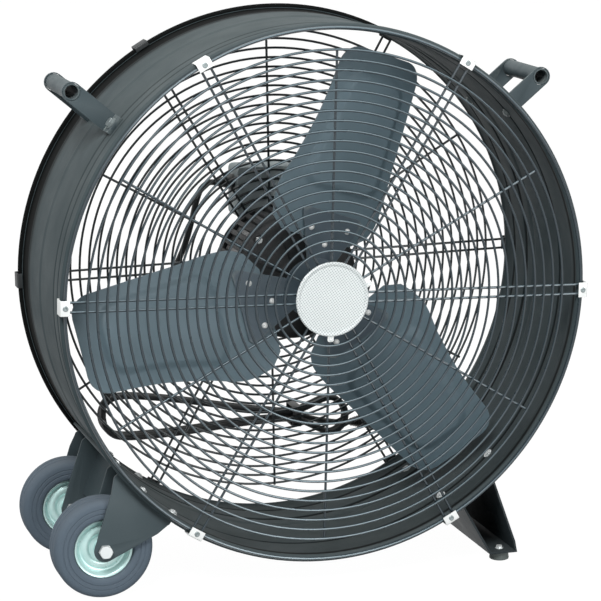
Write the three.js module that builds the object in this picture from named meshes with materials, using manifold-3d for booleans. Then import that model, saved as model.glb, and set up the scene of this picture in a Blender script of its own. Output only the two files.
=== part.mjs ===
// Drum fan: a steel drum on two wheels and two rubber feet, with a direct-drive rotor between wire guards.
// Millimetres, +Z up, the front faces -Y. The model is drawn about the drum's own axis and middle,
// and is then stood on the ground, centred over the middle of its own footprint.
import * as THREE from 'three';
import { mergeVertices } from 'three/addons/utils/BufferGeometryUtils.js';
import Module from 'manifold-3d';

const wasm = await Module();
wasm.setup();
const { Manifold } = wasm;

// ---------------------------------------------------------------- driving dimensions
const GAP = 0.3;                  // clearance between pieces that touch
const FRONT_RIM_R = 340;          // outside of the front rolled edge
const REAR_FLARE = 2;             // how much wider the rear rolled edge is
const DRUM_DEPTH = 257;
const SHEET = 1.6;                // drum wall
const BEAD_R = 4.5;               // rolled edges
const WALL_INSET = 5.8;           // flat wall inside the front rolled edge
const FRONT_STEP = 1.5;           // narrower band behind the front edge
const SWAGE = 1.4;                // pressed ring in the wall
const DRUM_SIDES = 48;

const SPOKE_WIRE = 3.2;
const RING_WIRE = 3.2;
const EDGE_WIRE = 4;
const RING_PITCH = 12.4;
const FIRST_RING_R = 60;
const EDGE_ROOM = 27;             // free of rings, inside the crest of the rolled edge
const EDGE_INSET = 1;             // edge ring inside the crest of the rolled edge
const SPOKE_PAIR_GAP = 12;        // between the two wires of a double spoke
const ARMS = 6;                   // double spokes, with a single one between each two
const GUARD_PLATE_R = 42;
const GUARD_TURN = -1.2;          // degrees, how far the guards are turned from upright

const CLIP_WIDTH = 19;
const CLIP_SHEET = 1.5;
const CLIP_REACH = 12;            // how far a clip comes in from the edge
const BADGE_R = 47;
const BADGE_DEPTH = 4;

const BLADES = 3;
const BLADE_AXIS = 71;            // degrees, the first blade's middle line
const TIP_CLEARANCE = 26.6;       // blade tip to the drum's wall
const BLADE_ROOT_R = 60;
const BLADE_SHEET = 2;
const BLADE_PITCH = 18;           // degrees
const BLADE_CAMBER_R = 420;
const BLADE_Y = -54;              // middle of the blades along the axis
const PANEL_RISE = 2.5;           // embossed panel
const TIP_ROUND = 26;
const SPIDER_SHEET = 3;
const SPIDER_R = 97;
const HUB_R = 17;
const HUB_LENGTH = 34;
const SHAFT_R = 8;
const SHAFT_NOSE = 22;            // shaft in front of the hub's middle, past the hub

const MOTOR_R = 82.5;
const MOTOR_SHEET = 3;
const MOTOR_LENGTH = 108;
const MOUNT_DEPTH = 16.5;         // from the motor's back to the drum's rear plane
const MOTOR_SIDES = 16;
const SHIELD_DEPTH = 22;
const BEARING_R = 17.5;
const BEARING_WIDTH = 12;
const STATOR_BORE_R = 46;
const CORE_LENGTH = 50;
const MOUNT_NECK_R = 44;
const MOUNT_FLANGE_R = 70;

const BOX_WIDTH = 88;
const BOX_HEIGHT = 68;
const BOX_DEPTH = 42;
const BOX_WALL = 2.5;
const BOX_CORNER_R = 7;
const BOX_Z = 92;                 // middle of the switch box over the axis
const LID_SHEET = 3;
const KNOB_R = 18;
const KNOB_HEIGHT = 16;
const KNOB_X = 14;
const STEM_R = 3.5;
const CAPACITOR_R = 13;

const CORD_D = 8;
const GLAND_LENGTH = 22;
const GLAND_R = 8.5;
const GLAND_UP = 12;              // gland over the middle of the box
const HANK_LOOPS = 2;             // whole loops, and the cord goes along the lower run once more
const HANK_LEFT_X = -228;
const HANK_RIGHT_X = 112;
const HANK_LEFT_R = 27;           // half height of its left end
const HANK_RIGHT_R = 24;
const HANK_WAIST_X = 40;
const HANK_WAIST_HALF = 5.4;      // from the middle of the waist to a strand's middle
const HANK_DROP = 216;            // hank's middle line under the axis, at X = 0
const HANK_SLOPE = -0.06;
const STRAND_GAP = 1;             // between strands that lie on each other
const LOOP_STEPS = 24;
const CORD_SIDES = 6;
const TIE_WIDTH = 12;
const TIE_SHEET = 1.5;
const PLUG_LENGTH = 46;
const PLUG_R = 14;
const PLUG_WAIST_R = 9;
const PIN_R = 2.4;
const PIN_LENGTH = 19;
const PIN_SPACING = 19;

const HANDLE_ANGLE = 40;          // degrees over the horizontal
const HANDLE_SPAN = 104;          // between the middles of the two legs
const GRIP_R = 10.5;
const GRIP_BORE_R = 8.5;
const GRIP_SIDES = 14;
const GRIP_OUT = 57.5;            // grip's middle outside the rear rolled edge
const LEG_SHEET = 3;
const LEG_EYE_WALL = 1.8;          // strap past the grip's tube on each side
const LEG_FLANGE = 24;

const WHEEL_R = 62.5;
const WHEEL_SIDES = 20;
const SMALL_SIDES = 12;            // shafts, sleeves and bearings
const TYRE_WIDTH = 40;
const RIM_R = 37;
const RIM_SHEET = 3;
const WHEEL_HUB_R = 11;
const AXLE_OUT = 75.4;            // axle outside the rear rolled edge
const AXLE_BEARING = 226.75;      // degrees
const WHEEL_INSET = 32.5;         // each wheel's middle inside the drum's end
const AXLE_R = 5;
const FORK_SHEET = 2.5;
const FORK_CLEARANCE = 2.5;       // tyre to fork plate
const FORK_END_R = 14;
const FORK_BEARING = 226;         // degrees, where the fork bracket sits on the drum
const FORK_SPREAD = 8;            // degrees to each side
const FOLD_OUT = 17;              // fold line of the outer fork plates, outside the rear rolled edge
const WEB_FOOT_IN = 14;           // web's foot from the axle, towards the drum's middle
const WEB_FOOT_UP = 21;

const FOOT_SHEET = 2.5;
const FOOT_LEFT_ANGLE = -57;      // degrees, where the foot bracket's plates leave the drum
const FOOT_RIGHT_ANGLE = -47;
const FOOT_FLANGE = 5;            // degrees
const FOOT_LEFT_INSET = 117;      // sole's left edge from the right-hand side of the drum
const FOOT_RIGHT_INSET = 79;
const FOOT_KNEE = 15;             // straight part of the right plate over the sole
const FOOT_R = 13;
const FOOT_HEIGHT = 11;
const FOOT_INSET = 16;            // foot's middle from the end of the bracket
const BRACKET_INSET = 15.5;       // both brackets' ends inside the drum's ends

// ---------------------------------------------------------------- places that follow from them
const rad = THREE.MathUtils.degToRad;
const FRONT_Y = -DRUM_DEPTH / 2;
const REAR_Y = DRUM_DEPTH / 2;
const REAR_RIM_R = FRONT_RIM_R + REAR_FLARE;
const WALL_R = FRONT_RIM_R - WALL_INSET;
const BLADE_TIP_R = WALL_R - SHEET - TIP_CLEARANCE;
const MOTOR_FRONT_Y = REAR_Y - MOUNT_DEPTH - MOTOR_LENGTH;
const GRIP_RADIUS_AT = REAR_RIM_R + GRIP_OUT;
const AXLE_X = (REAR_RIM_R + AXLE_OUT) * Math.cos(rad(AXLE_BEARING));
const AXLE_DROP = -(REAR_RIM_R + AXLE_OUT) * Math.sin(rad(AXLE_BEARING));
const WHEEL_Y = REAR_Y - WHEEL_INSET;
const FOLD_AT = REAR_RIM_R + FOLD_OUT;
const FOOT_LEFT_X = REAR_RIM_R - FOOT_LEFT_INSET;
const FOOT_RIGHT_X = REAR_RIM_R - FOOT_RIGHT_INSET;
const BRACKET_LENGTH = DRUM_DEPTH - 2 * BRACKET_INSET;
const AXIS_HEIGHT = AXLE_DROP + WHEEL_R;
const ringTube = RING_WIRE * 0.55;
const spokeY = SPOKE_WIRE / 2 + GAP;                       // from the rim plane, outward
const ringY = spokeY + SPOKE_WIRE / 2 + ringTube + GAP;
const guardFace = ringY + ringTube;
const badgeFace = guardFace + GAP + BADGE_DEPTH;
const boxBack = REAR_Y + guardFace + GAP;
const lidBack = boxBack + BOX_DEPTH + GAP;
const knobBack = lidBack + LID_SHEET + GAP;
const pitch = rad(BLADE_PITCH);
const hubBack = BLADE_Y + HUB_LENGTH / 2;
const shaftFront = BLADE_Y - SHAFT_NOSE;
const motorBack = MOTOR_FRONT_Y + MOTOR_LENGTH;
const bearingFrontY = MOTOR_FRONT_Y + 4;
const bearingRearY = motorBack - 4 - BEARING_WIDTH;
const coreY = MOTOR_FRONT_Y + (MOTOR_LENGTH - CORE_LENGTH) / 2;
const knobZ = BOX_Z - 6;

// ---------------------------------------------------------------- materials
function paint(color, roughness, metalness) {
  return new THREE.MeshStandardMaterial({ color, roughness, metalness });
}
const drumPaint = paint(0x4b5659, 0.5, 0.3);
const bladePaint = paint(0x55616b, 0.5, 0.3);
const blackPaint = paint(0x17191b, 0.55, 0.2);
const wirePaint = paint(0x2a2f31, 0.45, 0.4);
const zinc = paint(0xbfd9d6, 0.3, 0.9);
const brightSteel = paint(0xd8dcdd, 0.3, 0.9);
const silver = paint(0xe4e6e6, 0.4, 0.6);
const tyreRubber = paint(0x454d55, 0.85, 0);
const blackRubber = paint(0x2c3032, 0.85, 0);
const boxPlastic = paint(0x5c6766, 0.6, 0);
const blackPlastic = paint(0x141516, 0.5, 0);
const laminations = paint(0x77797a, 0.5, 0.8);

// ---------------------------------------------------------------- shaping
// One closed body: shared vertices merged, no flat slivers, faces pointing out.
function closed(source) {
  const bare = source.clone();
  bare.deleteAttribute('normal');
  bare.deleteAttribute('uv');
  const merged = mergeVertices(bare, 1e-4);
  const index = merged.index.array;
  const at = merged.attributes.position.array;
  const kept = [];
  let volume = 0;
  for (let i = 0; i < index.length; i += 3) {
    const [a, b, c] = [index[i], index[i + 1], index[i + 2]];
    if (a === b || b === c || c === a) continue;
    kept.push(a, b, c);
    const p = new THREE.Vector3().fromArray(at, a * 3);
    const q = new THREE.Vector3().fromArray(at, b * 3);
    const r = new THREE.Vector3().fromArray(at, c * 3);
    volume += p.dot(q.cross(r));
  }
  if (volume < 0) kept.reverse();
  merged.setIndex(kept);
  return merged;
}

function solid(source) {
  const body = closed(source);
  const vertProperties = new Float32Array(body.attributes.position.array);
  const triVerts = new Uint32Array(body.index.array);
  return new Manifold(new wasm.Mesh({ numProp: 3, vertProperties, triVerts }));
}

function surface(body) {
  const mesh = body.getMesh();
  const made = new THREE.BufferGeometry();
  made.setAttribute('position', new THREE.BufferAttribute(new Float32Array(mesh.vertProperties), 3));
  made.setIndex(Array.from(mesh.triVerts));
  return made;
}

function join(...pieces) {
  return surface(Manifold.union(pieces.map(solid)));
}

function cut(piece, ...tools) {
  return surface(Manifold.difference([solid(piece), ...tools.map(solid)]));
}

function common(piece, tool) {
  return surface(Manifold.intersection([solid(piece), solid(tool)]));
}

// Outline in X and Z, extruded along Y from y to y + depth.
function slab(outline, y, depth) {
  const made = new THREE.ExtrudeGeometry(outline, { depth, bevelEnabled: false, curveSegments: 5 });
  return made.rotateX(Math.PI / 2).translate(0, y + depth, 0);
}

function polygon(points) {
  return new THREE.Shape(points.map(([x, y]) => new THREE.Vector2(x, y)));
}

// Profile of [radius, y] pairs turned about the Y axis.
function turned(profile, sides) {
  return new THREE.LatheGeometry(profile.map(([r, y]) => new THREE.Vector2(r, y)), sides);
}

// A closed ring: the profile's last point meets its first.
function ringOf(profile, sides) {
  return turned([...profile, profile[0]], sides);
}

function disc(radius, y, depth, sides) {
  return turned([[0, y], [radius, y], [radius, y + depth], [0, y + depth]], sides);
}

function tubeRing(inner, outer, y, depth, sides) {
  return ringOf([[inner, y], [outer, y], [outer, y + depth], [inner, y + depth]], sides);
}

function block(x0, x1, y0, y1, z0, z1) {
  const made = new THREE.BoxGeometry(x1 - x0, y1 - y0, z1 - z0);
  return made.translate((x0 + x1) / 2, (y0 + y1) / 2, (z0 + z1) / 2);
}

// Turns a piece drawn along +X so that it points at an angle over the horizontal.
function pointedAt(source, degrees) {
  return source.clone().rotateY(-rad(degrees));
}

function polar(radius, degrees) {
  return [radius * Math.cos(rad(degrees)), radius * Math.sin(rad(degrees))];
}

// Sheet of one thickness that follows a bent line; the sheet lies to the left of the line.
function bentStrip(line, thickness) {
  const inside = line.map((point, i) => {
    const before = new THREE.Vector2(...line[Math.max(i - 1, 0)]);
    const here = new THREE.Vector2(...point);
    const after = new THREE.Vector2(...line[Math.min(i + 1, line.length - 1)]);
    const arriving = here.clone().sub(before).normalize();
    const leaving = after.clone().sub(here).normalize();
    if (i === 0) arriving.copy(leaving);
    if (i === line.length - 1) leaving.copy(arriving);
    const middle = new THREE.Vector2(-arriving.y - leaving.y, arriving.x + leaving.x).normalize();
    const stretch = thickness / middle.dot(new THREE.Vector2(-arriving.y, arriving.x));
    return [point[0] + middle.x * stretch, point[1] + middle.y * stretch];
  });
  return polygon([...line, ...inside.reverse()]);
}

// Radius of a hole with flat sides that clears a round of the given radius.
function clearOf(radius, sides) {
  return (radius + GAP) / Math.cos(Math.PI / sides);
}

function arcPoints(centre, radius, from, to, steps) {
  return Array.from({ length: steps + 1 }, (unused, i) => {
    const [r, y] = polar(radius, from + (to - from) * i / steps);
    return [centre[0] + r, centre[1] + y];
  });
}

// ---------------------------------------------------------------- drum
const frontBead = [FRONT_RIM_R - BEAD_R, FRONT_Y + BEAD_R];
const rearBead = [REAR_RIM_R - BEAD_R, REAR_Y - BEAD_R];
const STEP_Y = FRONT_Y + 22;
const SWAGE_Y = 20;
const FLARE_Y = 62;

// The wall's outside from the front bead to the rear one, pushed out by grow.
function wallLine(grow) {
  const r = WALL_R + grow;
  return [
    [r - FRONT_STEP, STEP_Y - 5], [r, STEP_Y], [r, SWAGE_Y - 6], [r + SWAGE, SWAGE_Y], [r, SWAGE_Y + 6],
    [r, FLARE_Y], [r + REAR_FLARE, REAR_Y - 2 * BEAD_R],
  ];
}

function drumShell() {
  const front = arcPoints(frontBead, BEAD_R, -220, 105, 5);
  const rear = arcPoints(rearBead, BEAD_R, -105, 220, 5);
  return ringOf([...front, ...wallLine(0), ...rear, ...wallLine(-SHEET).reverse()], DRUM_SIDES);
}

// Everything inside the drum's skin and a gap round it: brackets are cut back to it.
function drumSpace() {
  const front = arcPoints(frontBead, BEAD_R + GAP, -90, 105, 8);
  const rear = arcPoints(rearBead, BEAD_R + GAP, -90, 90, 8);
  const first = [0, front[0][1]];
  const last = [0, rear[rear.length - 1][1]];
  return turned([first, ...front, ...wallLine(GAP), ...rear, last], DRUM_SIDES);
}
const space = drumSpace();

// A saddle of sheet that hugs the drum between two angles.
function saddle(from, to, thickness, y, length) {
  const outer = WALL_R + REAR_FLARE + GAP + thickness;
  const shape = polygon([
    ...arcPoints([0, 0], WALL_R - 8, from, to, 3), ...arcPoints([0, 0], outer, from, to, 4).reverse(),
  ]);
  return slab(shape, y, length);
}

// ---------------------------------------------------------------- guards
// Drawn with the rim plane at y = 0 and the outside towards -Y.
function ringSides(radius) {
  if (radius < 130) return 10;
  return radius < 230 ? 14 : 18;
}

function wireRing(radius, tube, y, sides, section) {
  const made = new THREE.TorusGeometry(radius, tube, section, sides);
  return made.rotateX(Math.PI / 2).translate(0, y, 0);
}

function spoke(from, to, offset, y) {
  const half = SPOKE_WIRE / 2;
  return block(from, to, y - half, y + half, offset - half, offset + half);
}

function guard(plateR, plateFace, rimR) {
  const crest = rimR - BEAD_R;
  const pieces = [disc(plateR, -plateFace, plateFace - GAP, 18)];
  pieces.push(wireRing(crest - EDGE_INSET, EDGE_WIRE / 2, -spokeY - 0.6, 30, 3));
  const carrierY = ringY - ringTube * 0.87 - SPOKE_WIRE / 2 + 0.7;
  for (let radius = FIRST_RING_R; radius < crest - EDGE_ROOM; radius += RING_PITCH) {
    if (radius < plateR + 6) continue;
    pieces.push(wireRing(radius, ringTube, -ringY, ringSides(radius), 3));
  }
  for (let arm = 0; arm < ARMS; arm += 1) {
    const angle = 360 / ARMS * arm;
    for (const side of [-1, 1]) {
      const wire = spoke(plateR + GAP, crest, side * SPOKE_PAIR_GAP / 2, -spokeY);
      pieces.push(pointedAt(wire, angle));
    }
    const carries = arm === 1;
    const single = spoke(carries ? plateR - 3 : plateR + GAP, crest, 0, carries ? -carrierY : -spokeY);
    pieces.push(pointedAt(single, angle + 180 / ARMS));
  }
  return pointedAt(join(...pieces), GUARD_TURN);
}

const frontGuard = () => guard(GUARD_PLATE_R, guardFace, FRONT_RIM_R).translate(0, FRONT_Y, 0);
const rearGuard = () => {
  return guard(MOUNT_FLANGE_R + 4, 3 + GAP, REAR_RIM_R).rotateX(Math.PI).translate(0, REAR_Y, 0);
};

// A U-shaped clip over a rolled edge, drawn at angle 0 on the front edge.
function clip(rimR) {
  const lip = FRONT_Y - guardFace - GAP - CLIP_SHEET;
  const hook = FRONT_Y + 2 * BEAD_R + GAP + CLIP_SHEET;
  const outer = rimR + GAP + CLIP_SHEET;
  const line = [[outer - CLIP_REACH, lip], [outer, lip], [outer, hook], [rimR - BEAD_R, hook]];
  const section = bentStrip(line, CLIP_SHEET);
  const strip = new THREE.ExtrudeGeometry(section, { depth: CLIP_WIDTH, bevelEnabled: false });
  return strip.translate(0, 0, -CLIP_WIDTH / 2);
}

function badge() {
  const back = FRONT_Y - guardFace - GAP;
  const face = back - BADGE_DEPTH;
  const plate = turned([
    [0, back], [BADGE_R - 2, back], [BADGE_R, back - 1.5], [BADGE_R - 1, face], [BADGE_R - 4, face],
    [BADGE_R - 5, face + 1.4], [0, face + 1.4],
  ], 24);
  const tabs = [20, -92].map((angle) => {
    return pointedAt(block(BADGE_R - 3, BADGE_R + 7, back - 1.5, back, -4, 4), angle);
  });
  return join(plate, ...tabs);
}

// ---------------------------------------------------------------- rotor
function between(table, r) {
  const next = Math.max(1, table.findIndex(([at]) => at >= r));
  const [r0, v0] = table[next - 1];
  const [r1, v1] = table[next];
  return THREE.MathUtils.mapLinear(r, r0, r1, v0, v1);
}
const leadingEdge = [[BLADE_ROOT_R, 80], [110, 90], [160, 78], [220, 67], [BLADE_TIP_R, 62]];
const trailingEdge = [[BLADE_ROOT_R, 50], [95, 68], [170, 65], [BLADE_TIP_R, 56]];

// A sheet in blade shape: rows run along the radius and columns across the chord.
// Its middle surface is a part of a cylinder, pitched about the blade's own middle line (+X).
function chordSheet(rows, columns, halfWidths, front, thickness, rise) {
  const points = [];
  const put = (r, t, depth) => {
    const chord = t / Math.cos(pitch);
    const bend = chord / BLADE_CAMBER_R;
    const along = (BLADE_CAMBER_R - depth) * Math.sin(bend);
    const normal = BLADE_CAMBER_R - (BLADE_CAMBER_R - depth) * Math.cos(bend);
    points.push(r, BLADE_Y + normal * Math.cos(pitch) - along * Math.sin(pitch),
      along * Math.cos(pitch) + normal * Math.sin(pitch));
  };
  for (const side of [front, front + thickness]) {
    rows.forEach((r, i) => {
      const [low, high] = halfWidths(r);
      columns.forEach((u, j) => put(r, -low + (low + high) * u, side - rise(i, j)));
    });
  }
  const across = columns.length;
  const count = rows.length * across;
  const index = [];
  const quad = (a, b, c, d) => index.push(a, b, c, a, c, d);
  for (let i = 0; i + 1 < rows.length; i += 1) {
    for (let j = 0; j + 1 < across; j += 1) {
      const a = i * across + j;
      quad(a, a + 1, a + across + 1, a + across);
      quad(count + a, count + a + across, count + a + across + 1, count + a + 1);
    }
    const left = i * across;
    const right = left + across - 1;
    quad(left, left + across, count + left + across, count + left);
    quad(right, count + right, count + right + across, right + across);
  }
  for (let j = 0; j + 1 < across; j += 1) {
    const end = (rows.length - 1) * across + j;
    quad(j, count + j, count + j + 1, j + 1);
    quad(end, end + 1, count + end + 1, count + end);
  }
  const made = new THREE.BufferGeometry();
  made.setAttribute('position', new THREE.Float32BufferAttribute(points, 3));
  made.setIndex(index);
  return made;
}

function bladeWidths(r) {
  const past = Math.max(0, r - (BLADE_TIP_R - TIP_ROUND));
  const inset = TIP_ROUND - Math.sqrt(Math.max(0, TIP_ROUND ** 2 - past ** 2));
  const rootInset = Math.max(0, BLADE_ROOT_R + 14 - r);
  const less = inset * 0.9 + rootInset;
  return [between(trailingEdge, r) - less, between(leadingEdge, r) - less];
}

function blade() {
  const tip = BLADE_TIP_R;
  const rows = [BLADE_ROOT_R, BLADE_ROOT_R + 14, 96, 122, 132, tip - 36, tip - 26, tip - 12, tip - 4, tip];
  const columns = [0, 0.12, 0.19, 0.5, 0.81, 0.88, 1];
  const raised = (i, j) => (i >= 4 && i <= 5 && j >= 2 && j <= 4 ? PANEL_RISE : 0);
  return chordSheet(rows, columns, bladeWidths, 0, BLADE_SHEET, raised);
}

function spider() {
  const rows = [HUB_R - 4, SPIDER_R - 10, SPIDER_R];
  const columns = [0, 0.3, 0.7, 1];
  const widths = (r) => {
    const corner = r === SPIDER_R ? 8 : 0;
    return [THREE.MathUtils.mapLinear(r, HUB_R, SPIDER_R, 12, 44) - corner,
      THREE.MathUtils.mapLinear(r, HUB_R, SPIDER_R, 14, 52) - corner];
  };
  const front = -SPIDER_SHEET - 2.5 * GAP;       // curved sheets: room for the facets of both
  const pieces = [disc(HUB_R, BLADE_Y - HUB_LENGTH / 2, HUB_LENGTH, 16)];
  pieces.push(disc(38, BLADE_Y - 9, SPIDER_SHEET, 18));
  for (let i = 0; i < BLADES; i += 1) {
    const angle = BLADE_AXIS + 360 / BLADES * i;
    pieces.push(pointedAt(chordSheet(rows, columns, widths, front, SPIDER_SHEET, () => 0), angle));
  }
  return cut(join(...pieces), disc(SHAFT_R + GAP, BLADE_Y - HUB_LENGTH, 2 * HUB_LENGTH, SMALL_SIDES));
}

// ---------------------------------------------------------------- motor
function shield() {
  const wall = MOTOR_SHEET + 1;
  const bore = BEARING_R + GAP;
  const seat = 4 - GAP;
  return ringOf([
    [SHAFT_R + 2, 0], [bore + 6, 0], [MOTOR_R - 8, 9], [MOTOR_R, 15],
    [MOTOR_R, SHIELD_DEPTH], [MOTOR_R - wall, SHIELD_DEPTH], [MOTOR_R - wall, 16], [bore + 4, 7],
    [bore + 4, seat + BEARING_WIDTH], [bore, seat + BEARING_WIDTH], [bore, seat], [SHAFT_R + 2, seat],
  ], MOTOR_SIDES);
}

function bearing(y) {
  return tubeRing(SHAFT_R + GAP, BEARING_R, y, BEARING_WIDTH, SMALL_SIDES);
}

function motorMount() {
  const from = motorBack + GAP;
  const to = REAR_Y - GAP;
  return ringOf([
    [20, from], [MOUNT_NECK_R + 16, from], [MOUNT_NECK_R + 16, from + 3], [MOUNT_NECK_R, from + 3],
    [MOUNT_NECK_R, to - 3], [MOUNT_FLANGE_R, to - 3], [MOUNT_FLANGE_R, to], [MOUNT_NECK_R - 3, to],
    [MOUNT_NECK_R - 3, from + 3], [20, from + 3],
  ], MOTOR_SIDES);
}

// ---------------------------------------------------------------- switch box
function roundedOutline(width, height, corner, z) {
  const shape = new THREE.Shape();
  const [x, top, low] = [width / 2 - corner, z + height / 2 - corner, z - height / 2 + corner];
  shape.absarc(x, low, corner, -Math.PI / 2, 0);
  shape.absarc(x, top, corner, 0, Math.PI / 2);
  shape.absarc(-x, top, corner, Math.PI / 2, Math.PI);
  shape.absarc(-x, low, corner, Math.PI, Math.PI * 1.5);
  return shape;
}

function roundedSlab(width, height, corner, y, depth) {
  const shape = roundedOutline(width, height, corner, BOX_Z);
  const made = new THREE.ExtrudeGeometry(shape, { depth, bevelEnabled: false, curveSegments: 3 });
  return made.rotateX(Math.PI / 2).translate(0, y + depth, 0);
}

const glandZ = BOX_Z + GLAND_UP;
const glandY = boxBack + BOX_DEPTH / 2;

function switchBox() {
  const outside = roundedSlab(BOX_WIDTH, BOX_HEIGHT, BOX_CORNER_R, boxBack, BOX_DEPTH);
  const inner = [BOX_WIDTH - 2 * BOX_WALL, BOX_HEIGHT - 2 * BOX_WALL, BOX_CORNER_R - BOX_WALL];
  const inside = roundedSlab(...inner, boxBack + BOX_WALL, BOX_DEPTH);
  const cordHole = disc(5, 0, 3 * BOX_WALL, 12).rotateZ(Math.PI / 2);
  cordHole.translate(-BOX_WIDTH / 2 + 2 * BOX_WALL, glandY, glandZ);
  return cut(outside, inside, cordHole);
}

function switchLid() {
  const plate = roundedSlab(BOX_WIDTH, BOX_HEIGHT, BOX_CORNER_R, lidBack, LID_SHEET);
  return cut(plate, disc(STEM_R + 2, lidBack - 5, 20, 12).translate(KNOB_X, 0, knobZ));
}

function switchBody() {
  const deep = lidBack - GAP - boxBack - BOX_WALL - GAP;
  const from = boxBack + BOX_WALL + GAP;
  const box = block(KNOB_X - 14, KNOB_X + 14, from, from + deep, knobZ - 14, knobZ + 14);
  return cut(box, disc(STEM_R + 1, from + deep - 12, 20, 12).translate(KNOB_X, 0, knobZ));
}

function speedKnob() {
  const stem = disc(STEM_R, lidBack - 8, 12, 12);
  const base = turned([
    [0, knobBack], [KNOB_R, knobBack], [KNOB_R, knobBack + 4], [KNOB_R - 5, knobBack + 6], [0, knobBack + 6],
  ], 18);
  const bar = block(-4, 4, knobBack + 1, knobBack + KNOB_HEIGHT, -KNOB_R + 3, KNOB_R - 1);
  return join(stem, base, bar).translate(KNOB_X, 0, knobZ);
}

function capacitor() {
  const can = disc(CAPACITOR_R, 0, 34, 16).rotateZ(Math.PI / 2);
  const seat = BOX_WALL + GAP + CAPACITOR_R;
  return can.translate(KNOB_X - 14 - 2, boxBack + seat, BOX_Z - BOX_HEIGHT / 2 + seat);
}

// ---------------------------------------------------------------- cord
function gland() {
  const made = turned([
    [0, 0], [GLAND_R + 2, 0], [GLAND_R + 2, 6], [GLAND_R, 7], [CORD_D / 2 + 1.4, GLAND_LENGTH],
    [0, GLAND_LENGTH],
  ], SMALL_SIDES);
  return made.rotateZ(Math.PI / 2).translate(-BOX_WIDTH / 2 - GAP, glandY, glandZ);
}

const cordRestY = REAR_Y + guardFace + GAP + CORD_D / 2;
const layer = CORD_D + STRAND_GAP;
const hankZ = (x) => -HANK_DROP + HANK_SLOPE * x;
const point = (x, y, z) => new THREE.Vector3(x, y, z);
const leadStart = point(-BOX_WIDTH / 2 - 2 * GAP - GLAND_LENGTH, glandY, glandZ);
const hankStart = point(HANK_LEFT_X, cordRestY, hankZ(HANK_LEFT_X) + 12);
const plugStart = point(124, cordRestY + 22, -238);

// The free lead, from the gland down the back of the guard to the hank.
const leadRoute = [
  leadStart, point(-77, glandY, glandZ), point(-88, glandY - 2, 97), point(-97, cordRestY + 9, 80),
  point(-104, cordRestY + 4, 58), point(-114, cordRestY, 28), point(-126, cordRestY, 0),
  point(-143, cordRestY, -38), point(-165, cordRestY, -80), point(-190, cordRestY, -120),
  point(-212, cordRestY, -152), point(-226, cordRestY, -180),
  point(hankStart.x, cordRestY, hankStart.z + CORD_D), point(hankStart.x, cordRestY, hankStart.z + GAP),
];

// Half the hank's height on a run: from the end's radius down to the waist.
function runHalf(x) {
  const left = x < HANK_WAIST_X;
  const end = left ? HANK_LEFT_X + HANK_LEFT_R : HANK_RIGHT_X - HANK_RIGHT_R;
  const high = left ? HANK_LEFT_R : HANK_RIGHT_R;
  const share = (x - end) / (HANK_WAIST_X - end);
  return HANK_WAIST_HALF + (high - HANK_WAIST_HALF) * (0.5 + 0.5 * Math.cos(Math.PI * share));
}

// One step of the way round: left end, lower run, right end, upper run and back.
function hankStep(step) {
  const quarter = LOOP_STEPS / 8;
  const run = LOOP_STEPS / 4;
  const [leftX, rightX] = [HANK_LEFT_X + HANK_LEFT_R, HANK_RIGHT_X - HANK_RIGHT_R];
  const y = cordRestY + layer * step / LOOP_STEPS;
  const at = step % LOOP_STEPS;
  const onEnd = (x, radius, degrees) => {
    const [dx, dz] = polar(radius, degrees);
    return point(x + dx, y, hankZ(x) + dz);
  };
  if (at < quarter) return onEnd(leftX, HANK_LEFT_R, 180 + 90 * at / quarter);
  if (at < quarter + run) {
    const x = THREE.MathUtils.mapLinear(at, quarter, quarter + run, leftX, rightX);
    return point(x, y, hankZ(x) - runHalf(x));
  }
  if (at < 3 * quarter + run) {
    return onEnd(rightX, HANK_RIGHT_R, -90 + 180 * (at - quarter - run) / (2 * quarter));
  }
  if (at < 3 * quarter + 2 * run) {
    const x = THREE.MathUtils.mapLinear(at, 3 * quarter + run, 3 * quarter + 2 * run, rightX, leftX);
    return point(x, y, hankZ(x) + runHalf(x));
  }
  return onEnd(leftX, HANK_LEFT_R, 90 + 90 * (at - 3 * quarter - 2 * run) / quarter);
}

function hankRoute() {
  const loops = Array.from({ length: HANK_LOOPS * LOOP_STEPS + 9 }, (unused, step) => hankStep(step));
  const last = loops[loops.length - 1];
  const tail = [
    point(last.x + 16, last.y + 0.5, last.z - 1.5), point(last.x + 38, last.y + 1, last.z - 8),
    point(plugStart.x - 20, plugStart.y + 1, plugStart.z + 1),
    point(plugStart.x - CORD_D, plugStart.y, plugStart.z), point(plugStart.x - GAP, plugStart.y, plugStart.z),
  ];
  return [hankStart, point(hankStart.x, hankStart.y, hankStart.z - CORD_D), ...loops, ...tail];
}

function tubeAlong(route, sides, steps) {
  const curve = new THREE.CatmullRomCurve3(route, false, 'centripetal');
  const section = polygon(arcPoints([0, 0], CORD_D / 2, 0, 360 - 360 / sides, sides - 1));
  return new THREE.ExtrudeGeometry(section, { steps, bevelEnabled: false, extrudePath: curve });
}

// Least distance between strands, less the cord's diameter, on points along the route.
function leastGap(route) {
  const curve = new THREE.CatmullRomCurve3(route, false, 'centripetal');
  const length = curve.getLength();
  const points = curve.getSpacedPoints(Math.round(length / 3));
  const apart = Math.round(CORD_D * 6 / 3);
  let least = Infinity;
  for (let i = 0; i < points.length; i += 1) {
    for (let j = i + apart; j < points.length; j += 1) {
      least = Math.min(least, points[i].distanceTo(points[j]));
    }
  }
  return { length, least: least - CORD_D };
}

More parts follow.
